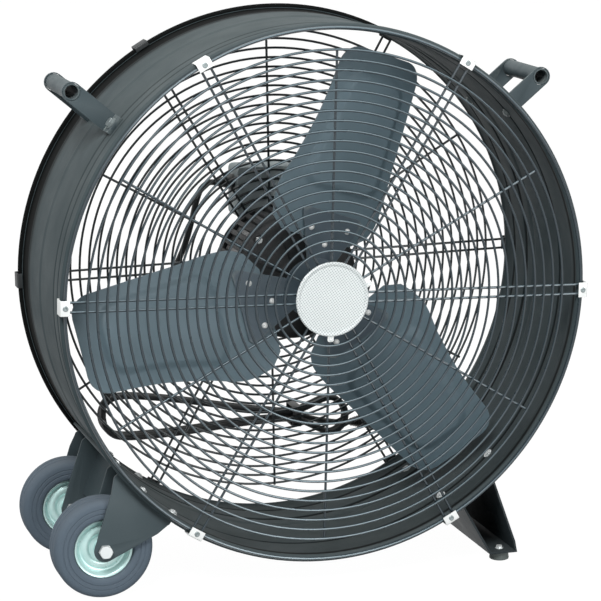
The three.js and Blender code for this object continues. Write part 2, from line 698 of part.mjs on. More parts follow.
function cordTie() {
  const room = GAP + STRAND_GAP / 2;
  const z = hankZ(HANK_WAIST_X);
  const high = HANK_WAIST_HALF + CORD_D / 2 + room + 2.5;
  const near = cordRestY - CORD_D / 2 + TIE_SHEET;
  const far = cordRestY + layer * (HANK_LOOPS + 0.45) + CORD_D / 2 + room;
  const half = TIE_WIDTH / 2;
  const outer = high + TIE_SHEET;
  const outside = block(-half, half, near - TIE_SHEET, far + TIE_SHEET, z - outer, z + outer);
  const inside = block(-TIE_WIDTH, TIE_WIDTH, near, far, z - high, z + high);
  return cut(outside, inside).translate(HANK_WAIST_X, 0, 0);
}

function plug() {
  const body = turned([
    [0, 0], [CORD_D / 2 + 1.5, 0], [PLUG_WAIST_R, 16], [PLUG_WAIST_R, 22], [PLUG_R, PLUG_LENGTH - 12],
    [PLUG_R, PLUG_LENGTH], [0, PLUG_LENGTH],
  ], SMALL_SIDES);
  const pins = [-1, 1].map((side) => {
    return disc(PIN_R, PLUG_LENGTH - 1, PIN_LENGTH + 1, 8).translate(side * PIN_SPACING / 2, 0, 0);
  });
  const made = join(body, ...pins).rotateZ(-Math.PI / 2);
  return made.translate(plugStart.x, plugStart.y, plugStart.z);
}

// ---------------------------------------------------------------- handles
// Drawn at angle 0, standing out along +X; side is -1 for the front leg.
function handleLeg(side) {
  const shape = new THREE.Shape();
  const half = GRIP_R + LEG_EYE_WALL;
  shape.moveTo(WALL_R - 8, half);
  shape.lineTo(WALL_R - 8, -half);
  shape.absarc(GRIP_RADIUS_AT, 0, half, -Math.PI / 2, Math.PI / 2);
  const eye = arcPoints([GRIP_RADIUS_AT, 0], clearOf(GRIP_R, GRIP_SIDES), 0, 360, GRIP_SIDES);
  shape.holes.push(polygon(eye.slice(1)));
  const middle = side * HANDLE_SPAN / 2;
  const strap = slab(shape, middle - LEG_SHEET / 2, LEG_SHEET);
  const far = middle + side * LEG_FLANGE;
  const top = WALL_R + REAR_FLARE + GAP + LEG_SHEET;
  const flange = block(WALL_R - 8, top, Math.min(middle, far), Math.max(middle, far), -half, half);
  return join(strap, flange);
}

function grip() {
  const length = HANDLE_SPAN + LEG_SHEET;
  return tubeRing(GRIP_BORE_R, GRIP_R, -length / 2, length, GRIP_SIDES).translate(GRIP_RADIUS_AT, 0, 0);
}

// ---------------------------------------------------------------- wheels and their bracket
const halfFork = TYRE_WIDTH / 2 + FORK_CLEARANCE;
const axle = [AXLE_X, -AXLE_DROP];
const axleR = REAR_RIM_R + AXLE_OUT;

// Angle of the point where a line from outside touches a circle; side picks which of the two.
function touchAngle(centre, radius, point, side) {
  const [x, z] = [point[0] - centre[0], point[1] - centre[1]];
  return Math.atan2(z, x) + side * Math.acos(radius / Math.hypot(x, z));
}

function forkOutline() {
  const upper = polar(FOLD_AT - 14, FORK_BEARING - FORK_SPREAD);
  const lower = polar(FOLD_AT - 14, FORK_BEARING + FORK_SPREAD);
  const shape = polygon([polar(WALL_R - 8, FORK_BEARING - FORK_SPREAD), upper]);
  const [from, to] = [touchAngle(axle, FORK_END_R, upper, 1), touchAngle(axle, FORK_END_R, lower, -1)];
  shape.absarc(...axle, FORK_END_R, from, to + (to < from ? 2 * Math.PI : 0), false);
  shape.lineTo(...lower);
  shape.lineTo(...polar(WALL_R - 8, FORK_BEARING + FORK_SPREAD));
  return shape;
}

// The outer fork plate steps back past the rolled edge: a folded sheet, cut to the fork's outline.
function steppedPlate(side) {
  const face = WHEEL_Y + halfFork + FORK_SHEET;
  const back = BRACKET_LENGTH / 2;
  const end = axleR + 2 * FORK_END_R;
  const line = [[WALL_R - 10, -back], [FOLD_AT - 15, -back], [FOLD_AT, -face], [end, -face]];
  const sheet = new THREE.ExtrudeGeometry(bentStrip(line, FORK_SHEET), { depth: axleR, bevelEnabled: false });
  sheet.translate(0, 0, -axleR / 2);
  const outward = new THREE.Vector3(Math.cos(rad(FORK_BEARING)), 0, Math.sin(rad(FORK_BEARING)));
  const alongY = new THREE.Vector3(0, 1, 0);
  const basis = new THREE.Matrix4().makeBasis(outward, alongY, outward.clone().cross(alongY));
  sheet.applyMatrix4(basis);
  const front = common(sheet, slab(forkOutline(), -face - 5, face - BRACKET_LENGTH / 2 + FORK_SHEET + 10));
  return side < 0 ? front : surface(solid(front).mirror([0, 1, 0]));
}

function wheelBracket() {
  const inner = WHEEL_Y - halfFork;
  const plates = [
    steppedPlate(-1), steppedPlate(1),
    slab(forkOutline(), -inner, FORK_SHEET), slab(forkOutline(), inner - FORK_SHEET, FORK_SHEET),
  ];
  const webTop = polar(WALL_R - 8, FORK_BEARING - 4.5);
  const webFoot = [AXLE_X + WEB_FOOT_IN, -AXLE_DROP + WEB_FOOT_UP];
  const web = slab(bentStrip([webTop, webFoot], FORK_SHEET), -inner, 2 * inner);
  const base = saddle(FORK_BEARING - 10, FORK_BEARING + 10, FORK_SHEET, -BRACKET_LENGTH / 2, BRACKET_LENGTH);
  const bore = disc(AXLE_R + GAP, -DRUM_DEPTH, 2 * DRUM_DEPTH, SMALL_SIDES).translate(AXLE_X, 0, -AXLE_DROP);
  return cut(join(...plates, web, base), space, bore);
}

// Flats lie at the nominal radius, so the tyre stands on a flat.
function tyre() {
  const outer = WHEEL_R / Math.cos(Math.PI / WHEEL_SIDES);
  const half = TYRE_WIDTH / 2;
  const made = ringOf([
    [RIM_R + GAP, -half + 4], [RIM_R + 5, -half], [outer - 8, -half + 1],
    [outer, -half + 8], [outer, half - 8], [outer - 8, half - 1], [RIM_R + 5, half],
    [RIM_R + GAP, half - 4],
  ], WHEEL_SIDES);
  return made.rotateY(Math.PI / WHEEL_SIDES);
}

function wheelRim() {
  const half = TYRE_WIDTH / 2;
  const face = half - 5;
  const bore = AXLE_R + 3 + 2 * GAP;
  return ringOf([
    [bore, -half], [WHEEL_HUB_R, -half], [WHEEL_HUB_R + 3, -face + 7], [RIM_R - 9, -face + 8],
    [RIM_R, -face], [RIM_R, face], [RIM_R - 9, face - 8], [WHEEL_HUB_R + 3, face - 7],
    [WHEEL_HUB_R, half], [bore, half],
  ], WHEEL_SIDES).rotateY(Math.PI / WHEEL_SIDES);
}

function axleSleeve() {
  return tubeRing(AXLE_R + GAP, AXLE_R + 3 + GAP, -halfFork + GAP, 2 * (halfFork - GAP), SMALL_SIDES);
}

function axleBolt() {
  const face = halfFork + FORK_SHEET + GAP;
  return turned([
    [0, -face - 6], [AXLE_R * 1.8, -face - 6], [AXLE_R * 1.8, -face], [AXLE_R, -face], [AXLE_R, face + 12],
    [0, face + 12],
  ], SMALL_SIDES);
}

function axleNut() {
  const face = halfFork + FORK_SHEET + GAP;
  return tubeRing(clearOf(AXLE_R, 6), AXLE_R * 1.9, face, 8, 6);
}

// ---------------------------------------------------------------- foot bracket
const soleTop = AXIS_HEIGHT - FOOT_HEIGHT - GAP;

function footBracket() {
  const leftTop = polar(WALL_R - 8, FOOT_LEFT_ANGLE);
  const rightTop = polar(WALL_R - 8, FOOT_RIGHT_ANGLE);
  const line = [
    leftTop, [FOOT_LEFT_X, -soleTop], [FOOT_RIGHT_X, -soleTop],
    [FOOT_RIGHT_X - 3, -soleTop + FOOT_KNEE], rightTop,
  ];
  const half = BRACKET_LENGTH / 2;
  const trough = slab(bentStrip(line, FOOT_SHEET), -half, BRACKET_LENGTH);
  const flanges = [
    saddle(FOOT_LEFT_ANGLE - FOOT_FLANGE, FOOT_LEFT_ANGLE + 1, FOOT_SHEET, -half, BRACKET_LENGTH),
    saddle(FOOT_RIGHT_ANGLE - 1, FOOT_RIGHT_ANGLE + FOOT_FLANGE, FOOT_SHEET, -half, BRACKET_LENGTH),
  ];
  return cut(join(trough, ...flanges), space);
}

function rubberFoot(end) {
  const made = turned([
    [0, 0], [FOOT_R - 2, 0], [FOOT_R, 2], [FOOT_R, FOOT_HEIGHT], [0, FOOT_HEIGHT],
  ], 14).rotateX(Math.PI / 2);
  const x = (FOOT_LEFT_X + FOOT_RIGHT_X) / 2;
  return made.translate(x, end * (BRACKET_LENGTH / 2 - FOOT_INSET), -AXIS_HEIGHT);
}

// ---------------------------------------------------------------- assembly
const fan = new THREE.Group();

function add(name, geometry, material, x = 0, y = 0, z = 0) {
  const mesh = new THREE.Mesh(closed(geometry), material);
  mesh.name = name;
  mesh.position.set(x, y, z);
  fan.add(mesh);
  return mesh;
}

add('drum_shell', drumShell(), drumPaint);
add('front_guard', frontGuard(), wirePaint);
add('rear_guard', rearGuard(), wirePaint);
for (let i = 0; i < ARMS; i += 1) {
  const angle = 360 / ARMS * i + GUARD_TURN;
  add(`front_clip_${i + 1}`, pointedAt(clip(FRONT_RIM_R), angle), silver);
  add(`rear_clip_${i + 1}`, pointedAt(clip(REAR_RIM_R), angle).rotateX(Math.PI), wirePaint);
}
add('badge', badge(), silver);

add('spider', spider(), drumPaint);
for (let i = 0; i < BLADES; i += 1) {
  add(`blade_${i + 1}`, pointedAt(blade(), BLADE_AXIS + 360 / BLADES * i), bladePaint);
}
const shaftBack = motorBack - 3;
const coreR = STATOR_BORE_R * Math.cos(Math.PI / MOTOR_SIDES) - GAP;
add('shaft', disc(SHAFT_R, shaftFront, shaftBack - shaftFront, SMALL_SIDES), brightSteel);
add('rotor_core', tubeRing(SHAFT_R + GAP, coreR, coreY, CORE_LENGTH, MOTOR_SIDES), laminations);
add('front_bearing', bearing(bearingFrontY), brightSteel);
add('rear_bearing', bearing(bearingRearY), brightSteel);

const shellFrom = MOTOR_FRONT_Y + SHIELD_DEPTH + GAP;
const shellLength = MOTOR_LENGTH - 2 * SHIELD_DEPTH - 2 * GAP;
add('motor_shell', tubeRing(MOTOR_R - MOTOR_SHEET, MOTOR_R, shellFrom, shellLength, MOTOR_SIDES), blackPaint);
const statorR = MOTOR_R - MOTOR_SHEET - GAP;
add('stator', tubeRing(STATOR_BORE_R, statorR, shellFrom + 4, shellLength - 8, MOTOR_SIDES), laminations);
add('motor_front_shield', shield().translate(0, MOTOR_FRONT_Y, 0), blackPaint);
add('motor_rear_shield', shield().rotateX(Math.PI).translate(0, motorBack, 0), blackPaint);
add('motor_mount', motorMount(), blackPaint);

add('switch_box', switchBox(), boxPlastic);
add('switch_box_lid', switchLid(), boxPlastic);
add('rotary_switch', switchBody(), blackPlastic);
add('capacitor', capacitor(), blackPlastic);
add('speed_knob', speedKnob(), blackPlastic);
add('cord_gland', gland(), blackPlastic);
const wound = hankRoute();
add('cord_lead', tubeAlong(leadRoute, 8, 36), blackRubber);
add('cord_hank', tubeAlong(wound, CORD_SIDES, LOOP_STEPS * HANK_LOOPS + 22), blackRubber);
add('cord_tie', cordTie(), blackPlastic);
add('plug', plug(), blackPlastic);
const free = leastGap(wound);
const cordLength = Math.round(free.length + leastGap(leadRoute).length);
console.log('cord', cordLength, 'mm, least gap', free.least.toFixed(2));

for (const [word, angle] of [['right', HANDLE_ANGLE], ['left', 180 - HANDLE_ANGLE]]) {
  for (const [end, side] of [['front', -1], ['rear', 1]]) {
    add(`${word}_handle_${end}_leg`, cut(pointedAt(handleLeg(side), angle), space), drumPaint);
  }
  add(`${word}_handle_grip`, pointedAt(grip(), angle), drumPaint);
}

add('wheel_bracket', wheelBracket(), drumPaint);
for (const [end, side] of [['front', -1], ['rear', 1]]) {
  const at = [AXLE_X, side * WHEEL_Y, -AXLE_DROP];
  add(`${end}_tyre`, tyre(), tyreRubber, ...at);
  add(`${end}_wheel_rim`, wheelRim(), zinc, ...at);
  add(`${end}_axle_sleeve`, axleSleeve(), brightSteel, ...at);
  add(`${end}_axle_bolt`, axleBolt(), brightSteel, ...at);
  add(`${end}_axle_nut`, axleNut(), brightSteel, ...at);
  add(`${end}_rubber_foot`, rubberFoot(side), blackRubber);
}
add('foot_bracket', footBracket(), drumPaint);

// Stand the fan on the ground, centred over the middle of its own box.
const tyreReach = -AXLE_X + WHEEL_R;
const rightReach = REAR_RIM_R + GAP + CLIP_SHEET;
const frontReach = -FRONT_Y + badgeFace;
const rearReach = knobBack + KNOB_HEIGHT;
fan.position.set((tyreReach - rightReach) / 2, (frontReach - rearReach) / 2, AXIS_HEIGHT);

export default fan;
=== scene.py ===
from math import ceil, cos, exp, hypot, pi, radians, sin, sqrt, tan

import bmesh
import bpy
from mathutils import Matrix, Vector


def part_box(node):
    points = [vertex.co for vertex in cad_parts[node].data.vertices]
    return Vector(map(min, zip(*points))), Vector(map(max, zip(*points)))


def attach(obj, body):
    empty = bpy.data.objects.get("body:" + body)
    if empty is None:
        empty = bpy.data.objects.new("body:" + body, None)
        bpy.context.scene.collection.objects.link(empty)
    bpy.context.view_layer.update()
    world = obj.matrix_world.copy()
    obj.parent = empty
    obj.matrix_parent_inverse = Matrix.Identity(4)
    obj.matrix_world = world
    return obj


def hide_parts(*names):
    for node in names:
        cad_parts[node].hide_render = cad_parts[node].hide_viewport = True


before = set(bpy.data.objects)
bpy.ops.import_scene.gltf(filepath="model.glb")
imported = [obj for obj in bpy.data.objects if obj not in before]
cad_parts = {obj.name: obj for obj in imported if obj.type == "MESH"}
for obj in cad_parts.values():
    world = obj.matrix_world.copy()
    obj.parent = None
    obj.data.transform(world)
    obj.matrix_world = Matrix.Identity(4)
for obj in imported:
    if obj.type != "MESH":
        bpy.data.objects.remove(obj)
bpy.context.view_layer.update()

# ---- sizes, as in the part's source, and then those that only the looks have
GAP = 0.3
FRONT_RIM_R = 340
REAR_RIM_R = 342
DRUM_DEPTH = 257
SHEET = 1.6
BEAD_R = 4.5
WALL_R = 334.2
REAR_FLARE = 2
FRONT_STEP = 1.5
SWAGE = 1.4
FRONT_Y = -DRUM_DEPTH / 2
REAR_Y = DRUM_DEPTH / 2
STEP_Y = FRONT_Y + 22
SWAGE_Y = 20
FLARE_Y = 62
# A line of painted shade inside the front bead stands for a groove that the wall's shape does not have.
RIM_GROOVE_SHADE_Y = FRONT_Y + 2 * BEAD_R + 2

WIRE_R = 1.6
EDGE_WIRE_R = 2
SPOKE_Y = 1.9
RING_Y = 4.95
GUARD_FACE = 7.32
RING_PITCH = 12.4
FIRST_RING_R = 60
EDGE_ROOM = 27
EDGE_INSET = 1
SPOKE_PAIR_GAP = 12
ARMS = 6
FRONT_PLATE_R = 42
REAR_PLATE_R = 74
GUARD_TURN = -1.2
CLIP_WIDTH = 19
CLIP_SHEET = 1.5
CLIP_REACH = 12
BADGE_R = 47
BADGE_DEPTH = 4

BLADES = 3
BLADE_AXIS = 71
BLADE_TIP_R = 306
BLADE_ROOT_R = 60
BLADE_SHEET = 2
BLADE_CAMBER_R = 420
BLADE_Y = -54
PITCH = radians(18)
PANEL_RISE = 4.8
TIP_ROUND = 26
SPIDER_SHEET = 3
SPIDER_R = 97
SPIDER_FRONT = -SPIDER_SHEET - 2.5 * GAP
HUB_R = 17
HUB_LENGTH = 34
SHAFT_R = 8
SHAFT_FRONT = -76
SHAFT_BACK = 109

MOTOR_R = 82.5
MOTOR_FRONT_Y = 4
MOTOR_BACK_Y = 112
SHIELD_DEPTH = 22
MOUNT_NECK_R = 44
MOUNT_FLANGE_R = 70
MOUNT_BOLT_R = 57
BEARING_SEAT_R = 17.8
THROUGH_BOLT_R = MOTOR_R - 11
FINS, FIN_DEPTH, SHELL_DEPTH = 36, 4.4, 9.4

BOX_WIDTH = 88
BOX_HEIGHT = 68
BOX_DEPTH = 42
BOX_WALL = 2.5
BOX_Z = 92
BOX_BACK = REAR_Y + GUARD_FACE + GAP
LID_BACK = BOX_BACK + BOX_DEPTH + GAP
LID_SHEET = 3
KNOB_X = 14
KNOB_Z = BOX_Z - 6
KNOB_BACK = LID_BACK + LID_SHEET + GAP
KNOB_R = 18
KNOB_HEIGHT = 16
GLAND_LENGTH = 22
GLAND_Y = BOX_BACK + BOX_DEPTH / 2
GLAND_Z = BOX_Z + 12

CORD_D = 8
CORD_REST_Y = REAR_Y + GUARD_FACE + GAP + CORD_D / 2
CORD_LAYER = CORD_D + 1
HANK_LEFT, HANK_RIGHT = (-201, 27), (88, 24)
HANK_WAIST_X, HANK_WAIST_HALF = 40, 5.4
HANK_STEPS = 24
HANK_LOOPS, HANK_LAST_STEPS = 2, 9
HANK_Z, HANK_SLOPE = -216, 0.06
PIN_SPACING = 19
PLUG_START = (124, CORD_REST_Y + 22, -238)

HANDLE_ANGLE = 40
HANDLE_SPAN = 104
GRIP_R, GRIP_BORE_R = 10.5, 8.5
GRIP_RADIUS_AT = 399.5
LEG_SHEET = 3
LEG_FLANGE = 24

WHEEL_R = 62.5
TYRE_WIDTH = 40
RIM_R = 37
AXLE_OUT, AXLE_BEARING = 75.4, radians(226.75)
AXLE_X = (REAR_RIM_R + AXLE_OUT) * cos(AXLE_BEARING)
AXLE_Z = (REAR_RIM_R + AXLE_OUT) * sin(AXLE_BEARING)
WHEEL_Y = 96
AXLE_R = 5
HALF_FORK = TYRE_WIDTH / 2 + 2.5
FORK_SHEET = 2.5
AXIS_HEIGHT = WHEEL_R - AXLE_Z
FOOT_X = 244
FOOT_R = 13
FOOT_HEIGHT = 11
FOOT_Y = 97
ENDS = (("front", -1), ("rear", 1))

# Bolt ends inside the drum: bearings about its axis, and places in Y.
FOOT_BRACKET_BOLTS = ((-44.4, -58.6), (-67, 67))
FORK_BRACKET_BOLTS = ((217.4, 226, 234.6), (-90, 90))

# Lines pressed round the wall: where each is, half its width and its depth, seen from inside and outside; the
# drum's paint also darkens each line with painted shade.
INNER_LINES = [(-67, 3, 1.0), (46, 4, 1.1), (91, 3.4, 1.0)]
OUTER_LINES = [(-84, 2.6, -0.6), (-62, 3, -0.7)]
REAR_CHANNEL = (100, 19, -0.9)
# Painted shade on the outside before the rear edge: where it starts, where it is full and where it ends.
REAR_SHADE_START, REAR_SHADE_FULL, REAR_SHADE_END = 72, 97, 124

# Widths of a blade on each side of its axis, by radius, and its embossed panel.
LEADING = [(BLADE_ROOT_R, 80), (110, 90), (160, 78), (220, 67), (BLADE_TIP_R, 62)]
TRAILING = [(BLADE_ROOT_R, 50), (95, 68), (170, 65), (BLADE_TIP_R, 56)]
PANEL_FROM, PANEL_TO = 127, 275
PANEL_CORNER, PANEL_SLOPE = 24, 10
ARM_RIVETS = ((73, 31), (56, 5), (79, -22))

# A tyre's side from the rim outwards: height over the rim and depth under the side's plane.
TYRE_SIDE = [(GAP, 5), (1.6, 1.6), (4, 0.2), (6, 0), (8.2, 0), (8.6, 0.7), (9.6, 0.7), (10, 0), (14, 0),
             (14.4, 0.6), (15.2, 0.6), (15.6, 0.1)]
RIM_SIDE = [(11, -11), (11.8, -9.2), (14, -8.2), (17, -8), (19, -9.4), (22, -9.8), (25, -9), (27.6, -7.4),
            (29.4, -7.8), (31.5, -10.5), (33.4, -13.6), (34.8, -14.7), (36.4, -15), (RIM_R, -14.2)]
RIM_BORE_R = 8.7

# Hexagon heads and nuts: radius to the corners, height and washer.
MOUNT_BOLT = (6.4, 4.2, 1.2)
THROUGH_BOLT = (4.6, 3.4)
HANDLE_BOLT = (6.2, 4, 1.2)
INNER_NUT = (5, 2.4, 0.7)
FOOT_BOLT = (4.2, 3, 0.8)
AXLE_HEAD = (9, 6)
AXLE_NUT = (9.5, 8)

# Looks, camera and light: the dots are waves in radians per metre, and the camera turns about its own axes.
CREASE, SOFT_CREASE = 32, 40
COAT_ROUGHNESS = 0.25
TONE_RANGE = (0.3, 0.7)
BADGE_DOTS = 1550.0
CAMERA_TURNS = (("Z", -17.267), ("X", 90 - 11.599), ("Z", 0.233))
CAMERA_SPOT = (-960.8, -3096.3, 636.7)
CAMERA_LENS = 154.15
FLOOR_HALF = 30
FLOOR_GLOW, FLOOR_GLOW_SHARE = 1.12, 0.88
WORLD_ON_FAN = 0.25
LIGHTS_AIM = (0, 0, 0.35)
LIGHTS = (("key_light", (-1.4, -2.2, 2.9), 118, 1.2), ("front_light", (1.6, -3.6, 1.0), 58, 2.0),
          ("top_light", (0.2, 0.5, 3.2), 34, 2.0), ("rim_light", (-2.2, 2.6, 1.7), 14, 1.2))

MM = 0.001
scene = bpy.context.scene
drum_low, drum_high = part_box("drum_shell")
shaft_low, shaft_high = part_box("shaft")
CENTRE = Vector((
    (shaft_low.x + shaft_high.x) / 2, (drum_low.y + drum_high.y) / 2, (shaft_low.z + shaft_high.z) / 2,
))


def at(x, y, z):
    return CENTRE + Vector((x, y, z)) * MM


def add_object(name, data):
    made = bpy.data.objects.new(name, data)
    scene.collection.objects.link(made)
    return made


# ---- camera
def photo_camera():
    data = bpy.data.cameras.new("photo_camera")
    data.sensor_width = 36
    data.lens = CAMERA_LENS
    data.clip_end = 60
    camera = add_object("photo_camera", data)
    place = Matrix.Translation(at(*CAMERA_SPOT))
    for axis, degrees in CAMERA_TURNS:
        place = place @ Matrix.Rotation(radians(degrees), 4, axis)
    camera.matrix_world = place
    scene.camera = camera


photo_camera()


# ---- shaping
# A shape is a list of points and a list of faces.
def merged(*shapes):
    points, faces = [], []
    for some_points, some_faces in shapes:
        first = len(points)
        points += some_points
        faces += [[first + i for i in face] for face in some_faces]
    return points, faces


def mapped(shape, change):
    return [tuple(change(*point)) for point in shape[0]], shape[1]


def moved(shape, dx, dy, dz):
    return mapped(shape, lambda x, y, z: (x + dx, y + dy, z + dz))


def pointed_at(shape, degrees):
    """Turned about the drum's axis, from +X towards +Z."""
    c, s = cos(radians(degrees)), sin(radians(degrees))
    return mapped(shape, lambda x, y, z: (x * c - z * s, y, x * s + z * c))


def around(shape, count, first=0):
    """Copies of a shape, spread evenly about the drum's axis."""
    return [pointed_at(shape, first + 360 / count * i) for i in range(count)]


def turned_back(shape, y):
    """A shape drawn from the front, turned to face backwards, with its plane y = 0 set at y."""
    return mapped(shape, lambda x, depth, z: (x, y - depth, -z))


def facing(shape, normal, spot):
    """A shape drawn with its outside towards -Y, set on a spot with that side towards normal."""
    turn = Vector((0, -1, 0)).rotation_difference(Vector(normal))
    return mapped(shape, lambda x, y, z: turn @ Vector((x, y, z)) + Vector(spot))


def arc(centre, radius, start, end, steps):
    angles = (radians(start + (end - start) * i / steps) for i in range(steps + 1))
    return [(centre[0] + radius * cos(a), centre[1] + radius * sin(a)) for a in angles]


def circle(centre, radius, steps=32):
    return arc(centre, radius, 0, 360, steps)[:-1]


def lathe(profile, steps=96, ring=False):
    """Profile of radius and y turned about the Y axis; a ring's profile closes on itself."""
    points, rows = [], []
    for radius, y in profile:
        if radius < 1e-6:
            rows.append([len(points)] * steps)
            points.append((0, y, 0))
            continue
        rows.append(list(range(len(points), len(points) + steps)))
        points += [(radius * c, y, radius * s) for c, s in circle((0, 0), 1, steps)]
    if ring:
        rows.append(rows[0])
    faces = []
    for near, far in zip(rows, rows[1:]):
        for i in range(steps):
            j = (i + 1) % steps
            face = list(dict.fromkeys([near[i], near[j], far[j], far[i]]))
            if len(face) > 2:
                faces.append(face)
    return points, faces


def wire_ring(radius, wire_r, y, steps):
    return lathe([(radius + r, y + h) for r, h in circle((0, 0), wire_r, 8)], steps, ring=True)


def rod(start, end, radius, sides=10):
    start, end = Vector(start), Vector(end)
    along = (end - start).normalized()
    across = along.orthogonal().normalized()
    over = along.cross(across)
    points = [tuple(middle + across * c + over * s) for middle in (start, end)
              for c, s in circle((0, 0), radius, sides)]
    faces = [[i, (i + 1) % sides, sides + (i + 1) % sides, sides + i] for i in range(sides)]
    return points, faces + [list(range(sides)), list(range(sides, 2 * sides))]


def rounded(line, radius, steps=5, closed=False):
    """The same line in the plane with its corners rounded."""
    made = []
    for i, corner in enumerate(line):
        if not closed and i in (0, len(line) - 1):
            made.append(tuple(corner))
            continue
        here = Vector(corner)
        back, on = Vector(line[i - 1]) - here, Vector(line[(i + 1) % len(line)]) - here
        reach = min(radius / tan(back.angle(on) / 2), back.length * 0.49, on.length * 0.49)
        start, end = here + back.normalized() * reach, here + on.normalized() * reach
        for step in range(steps + 1):
            t = step / steps
            made.append(tuple(start * (1 - t) ** 2 + here * 2 * t * (1 - t) + end * t * t))
    return made


def rectangle(x0, z0, x1, z1, corner, steps=3):
    return rounded([(x0, z0), (x1, z0), (x1, z1), (x0, z1)], corner, steps, True)


def strip(line, thickness):
    """Outline of sheet that follows a line; the sheet lies to the left of it."""
    inner = []
    for i, point in enumerate(line):
        here = Vector(point)
        arriving = here - Vector(line[max(i - 1, 0)])
        leaving = Vector(line[min(i + 1, len(line) - 1)]) - here
        first = (arriving if arriving.length > 0 else leaving).normalized()
        second = (leaving if leaving.length > 0 else arriving).normalized()
        middle = Vector((-first.y - second.y, first.x + second.x)).normalized()
        inner.append(tuple(here + middle * thickness / middle.dot(Vector((-first.y, first.x)))))
    return [*line, *reversed(inner)]


def plate(outline, low, high, edge=0.3, holes=()):
    """A flat piece with eased edges: its outline lies in X and Z, and it reaches from low to high in Y."""
    curve = bpy.data.curves.new("plate", "CURVE")
    curve.dimensions = "2D"
    curve.fill_mode = "BOTH"
    curve.extrude = (high - low) / 2 - edge
    curve.bevel_depth = edge
    curve.bevel_resolution = 2
    curve.offset = -edge
    for loop in (outline, *holes):
        spline = curve.splines.new("POLY")
        spline.points.add(len(loop) - 1)
        for point, (x, z) in zip(spline.points, loop):
            point.co = (x, z, 0, 1)
        spline.use_cyclic_u = True
    holder = add_object("plate", curve)
    seen = holder.evaluated_get(bpy.context.evaluated_depsgraph_get())
    mesh = seen.to_mesh()
    points = [(v.co.x, (low + high) / 2 - v.co.z, v.co.y) for v in mesh.vertices]
    faces = [list(face.vertices) for face in mesh.polygons]
    seen.to_mesh_clear()
    bpy.data.objects.remove(holder)
    bpy.data.curves.remove(curve)
    return points, faces


def hex_head(radius, height, washer=0.0):
    """A hexagon head or nut on the plane y = 0, with its top towards -Y; radius is to its corners."""
    low, top = -washer, -washer - height
    points = [(radius * c, y, radius * s) for y in (low, top + radius * 0.1) for c, s in circle((0, 0), 1, 6)]
    points += [(x, top, z) for x, z in circle((0, 0), radius * 0.84, 24)]
    faces = [list(range(6)), list(range(12, 36))]
    for side in range(6):
        after = (side + 1) % 6
        rim = [12 + (side * 4 + k) % 24 for k in range(5)]
        faces += [[side, after, 6 + after, 6 + side], [6 + side, 6 + after, *reversed(rim)]]
    if not washer:
        return points, faces
    return merged((points, faces),
                  lathe([(0, 0), (radius * 1.25, 0), (radius * 1.25, low), (0, low)], 32))


def dome_head(radius, height):
    """A rivet or pan head on the plane y = 0, with its top towards -Y."""
    crown = [(radius * c, -height * s) for c, s in arc((0, 0), 1, 0, 90, 6)]
    return lathe([(0, 0), *crown[:-1], (0, -height)], 24)


def screw_head(radius, height):
    """A pan head with a round recess."""
    rim = [(0, 0), (radius, 0), (radius, -height * 0.5), (radius * 0.8, -height), (radius * 0.45, -height),
           (radius * 0.3, -height * 0.45), (0, -height * 0.4)]
    return lathe(rim, 24)


def piece(name, shape, material, stands_for=None, body="fan_frame", crease=CREASE):
    points, faces = shape
    data = bpy.data.meshes.new(name)
    data.from_pydata([at(*point) for point in points], [], faces)
    work = bmesh.new()
    work.from_mesh(data)
    bmesh.ops.remove_doubles(work, verts=work.verts, dist=2e-6)
    bmesh.ops.recalc_face_normals(work, faces=work.faces)
    work.to_mesh(data)
    work.free()
    data.shade_smooth()
    data.set_sharp_from_angle(angle=radians(crease))
    data.materials.append(material)
    made = add_object(name, data)
    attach(made, body)
    if stands_for:
        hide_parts(stands_for)
    return made


# ---- finishes
def linear(hexadecimal):
    """A screen colour, such as "4b5659", as linear red, green, blue and alpha."""
    parts = [int(hexadecimal[i:i + 2], 16) / 255 for i in (0, 2, 4)]
    return [c / 12.92 if c <= 0.04045 else ((c + 0.055) / 1.055) ** 2.4 for c in parts] + [1.0]


def wire(source, target):
    """Feeds a socket from another socket, or sets it to a plain value."""
    if isinstance(source, bpy.types.NodeSocket):
        target.id_data.links.new(source, target)
    else:
        target.default_value = source


def put(tree, kind, **settings):
    """Adds a node: a setting feeds the socket of that name, and is a property if there is none."""
    made = tree.nodes.new("ShaderNode" + kind)
    for name, value in settings.items():
        label = name.replace("_", " ")
        if label in made.inputs:
            wire(value, made.inputs[label])
        else:
            setattr(made, name, value)
    return made


def effect(name, inputs, outputs):
    """An empty shader node group with number sockets; gives its tree, its inlets and its outlets."""
    tree = bpy.data.node_groups.new(name, "ShaderNodeTree")
    for in_out, labels in (("INPUT", inputs), ("OUTPUT", outputs)):
        for label in labels:
            tree.interface.new_socket(name=label, in_out=in_out, socket_type="NodeSocketFloat")
    return tree, tree.nodes.new("NodeGroupInput").outputs, tree.nodes.new("NodeGroupOutput").inputs


def math_node(tree, operation, *values, clamp=False):
    made = put(tree, "Math", operation=operation, use_clamp=clamp)
    for value, socket in zip(values, made.inputs):
        wire(value, socket)
    return made.outputs[0]


def times(tree, first, second, clamp=False):
    return math_node(tree, "MULTIPLY", first, second, clamp=clamp)


def larger(tree, first, second):
    return math_node(tree, "MAXIMUM", first, second)


def spread(tree, value, low, high, to_low=0.0, to_high=1.0):
    """Stretches a value from one range to another, held inside it."""
    made = put(tree, "MapRange")
    for number, socket in zip((value, low, high, to_low, to_high), made.inputs):
        wire(number, socket)
    return made.outputs[0]


def blend_colours(tree, share, first, second):
    made = put(tree, "Mix", data_type="RGBA", Factor=share)
    wire(first, made.inputs[6])
    wire(second, made.inputs[7])
    return made.outputs[2]


def surface_spot(tree):
    return put(tree, "TexCoord").outputs["Object"]


def surface_normal(tree):
    return put(tree, "NewGeometry").outputs["Normal"]


def axes(tree, vector):
    return put(tree, "SeparateXYZ", Vector=vector).outputs


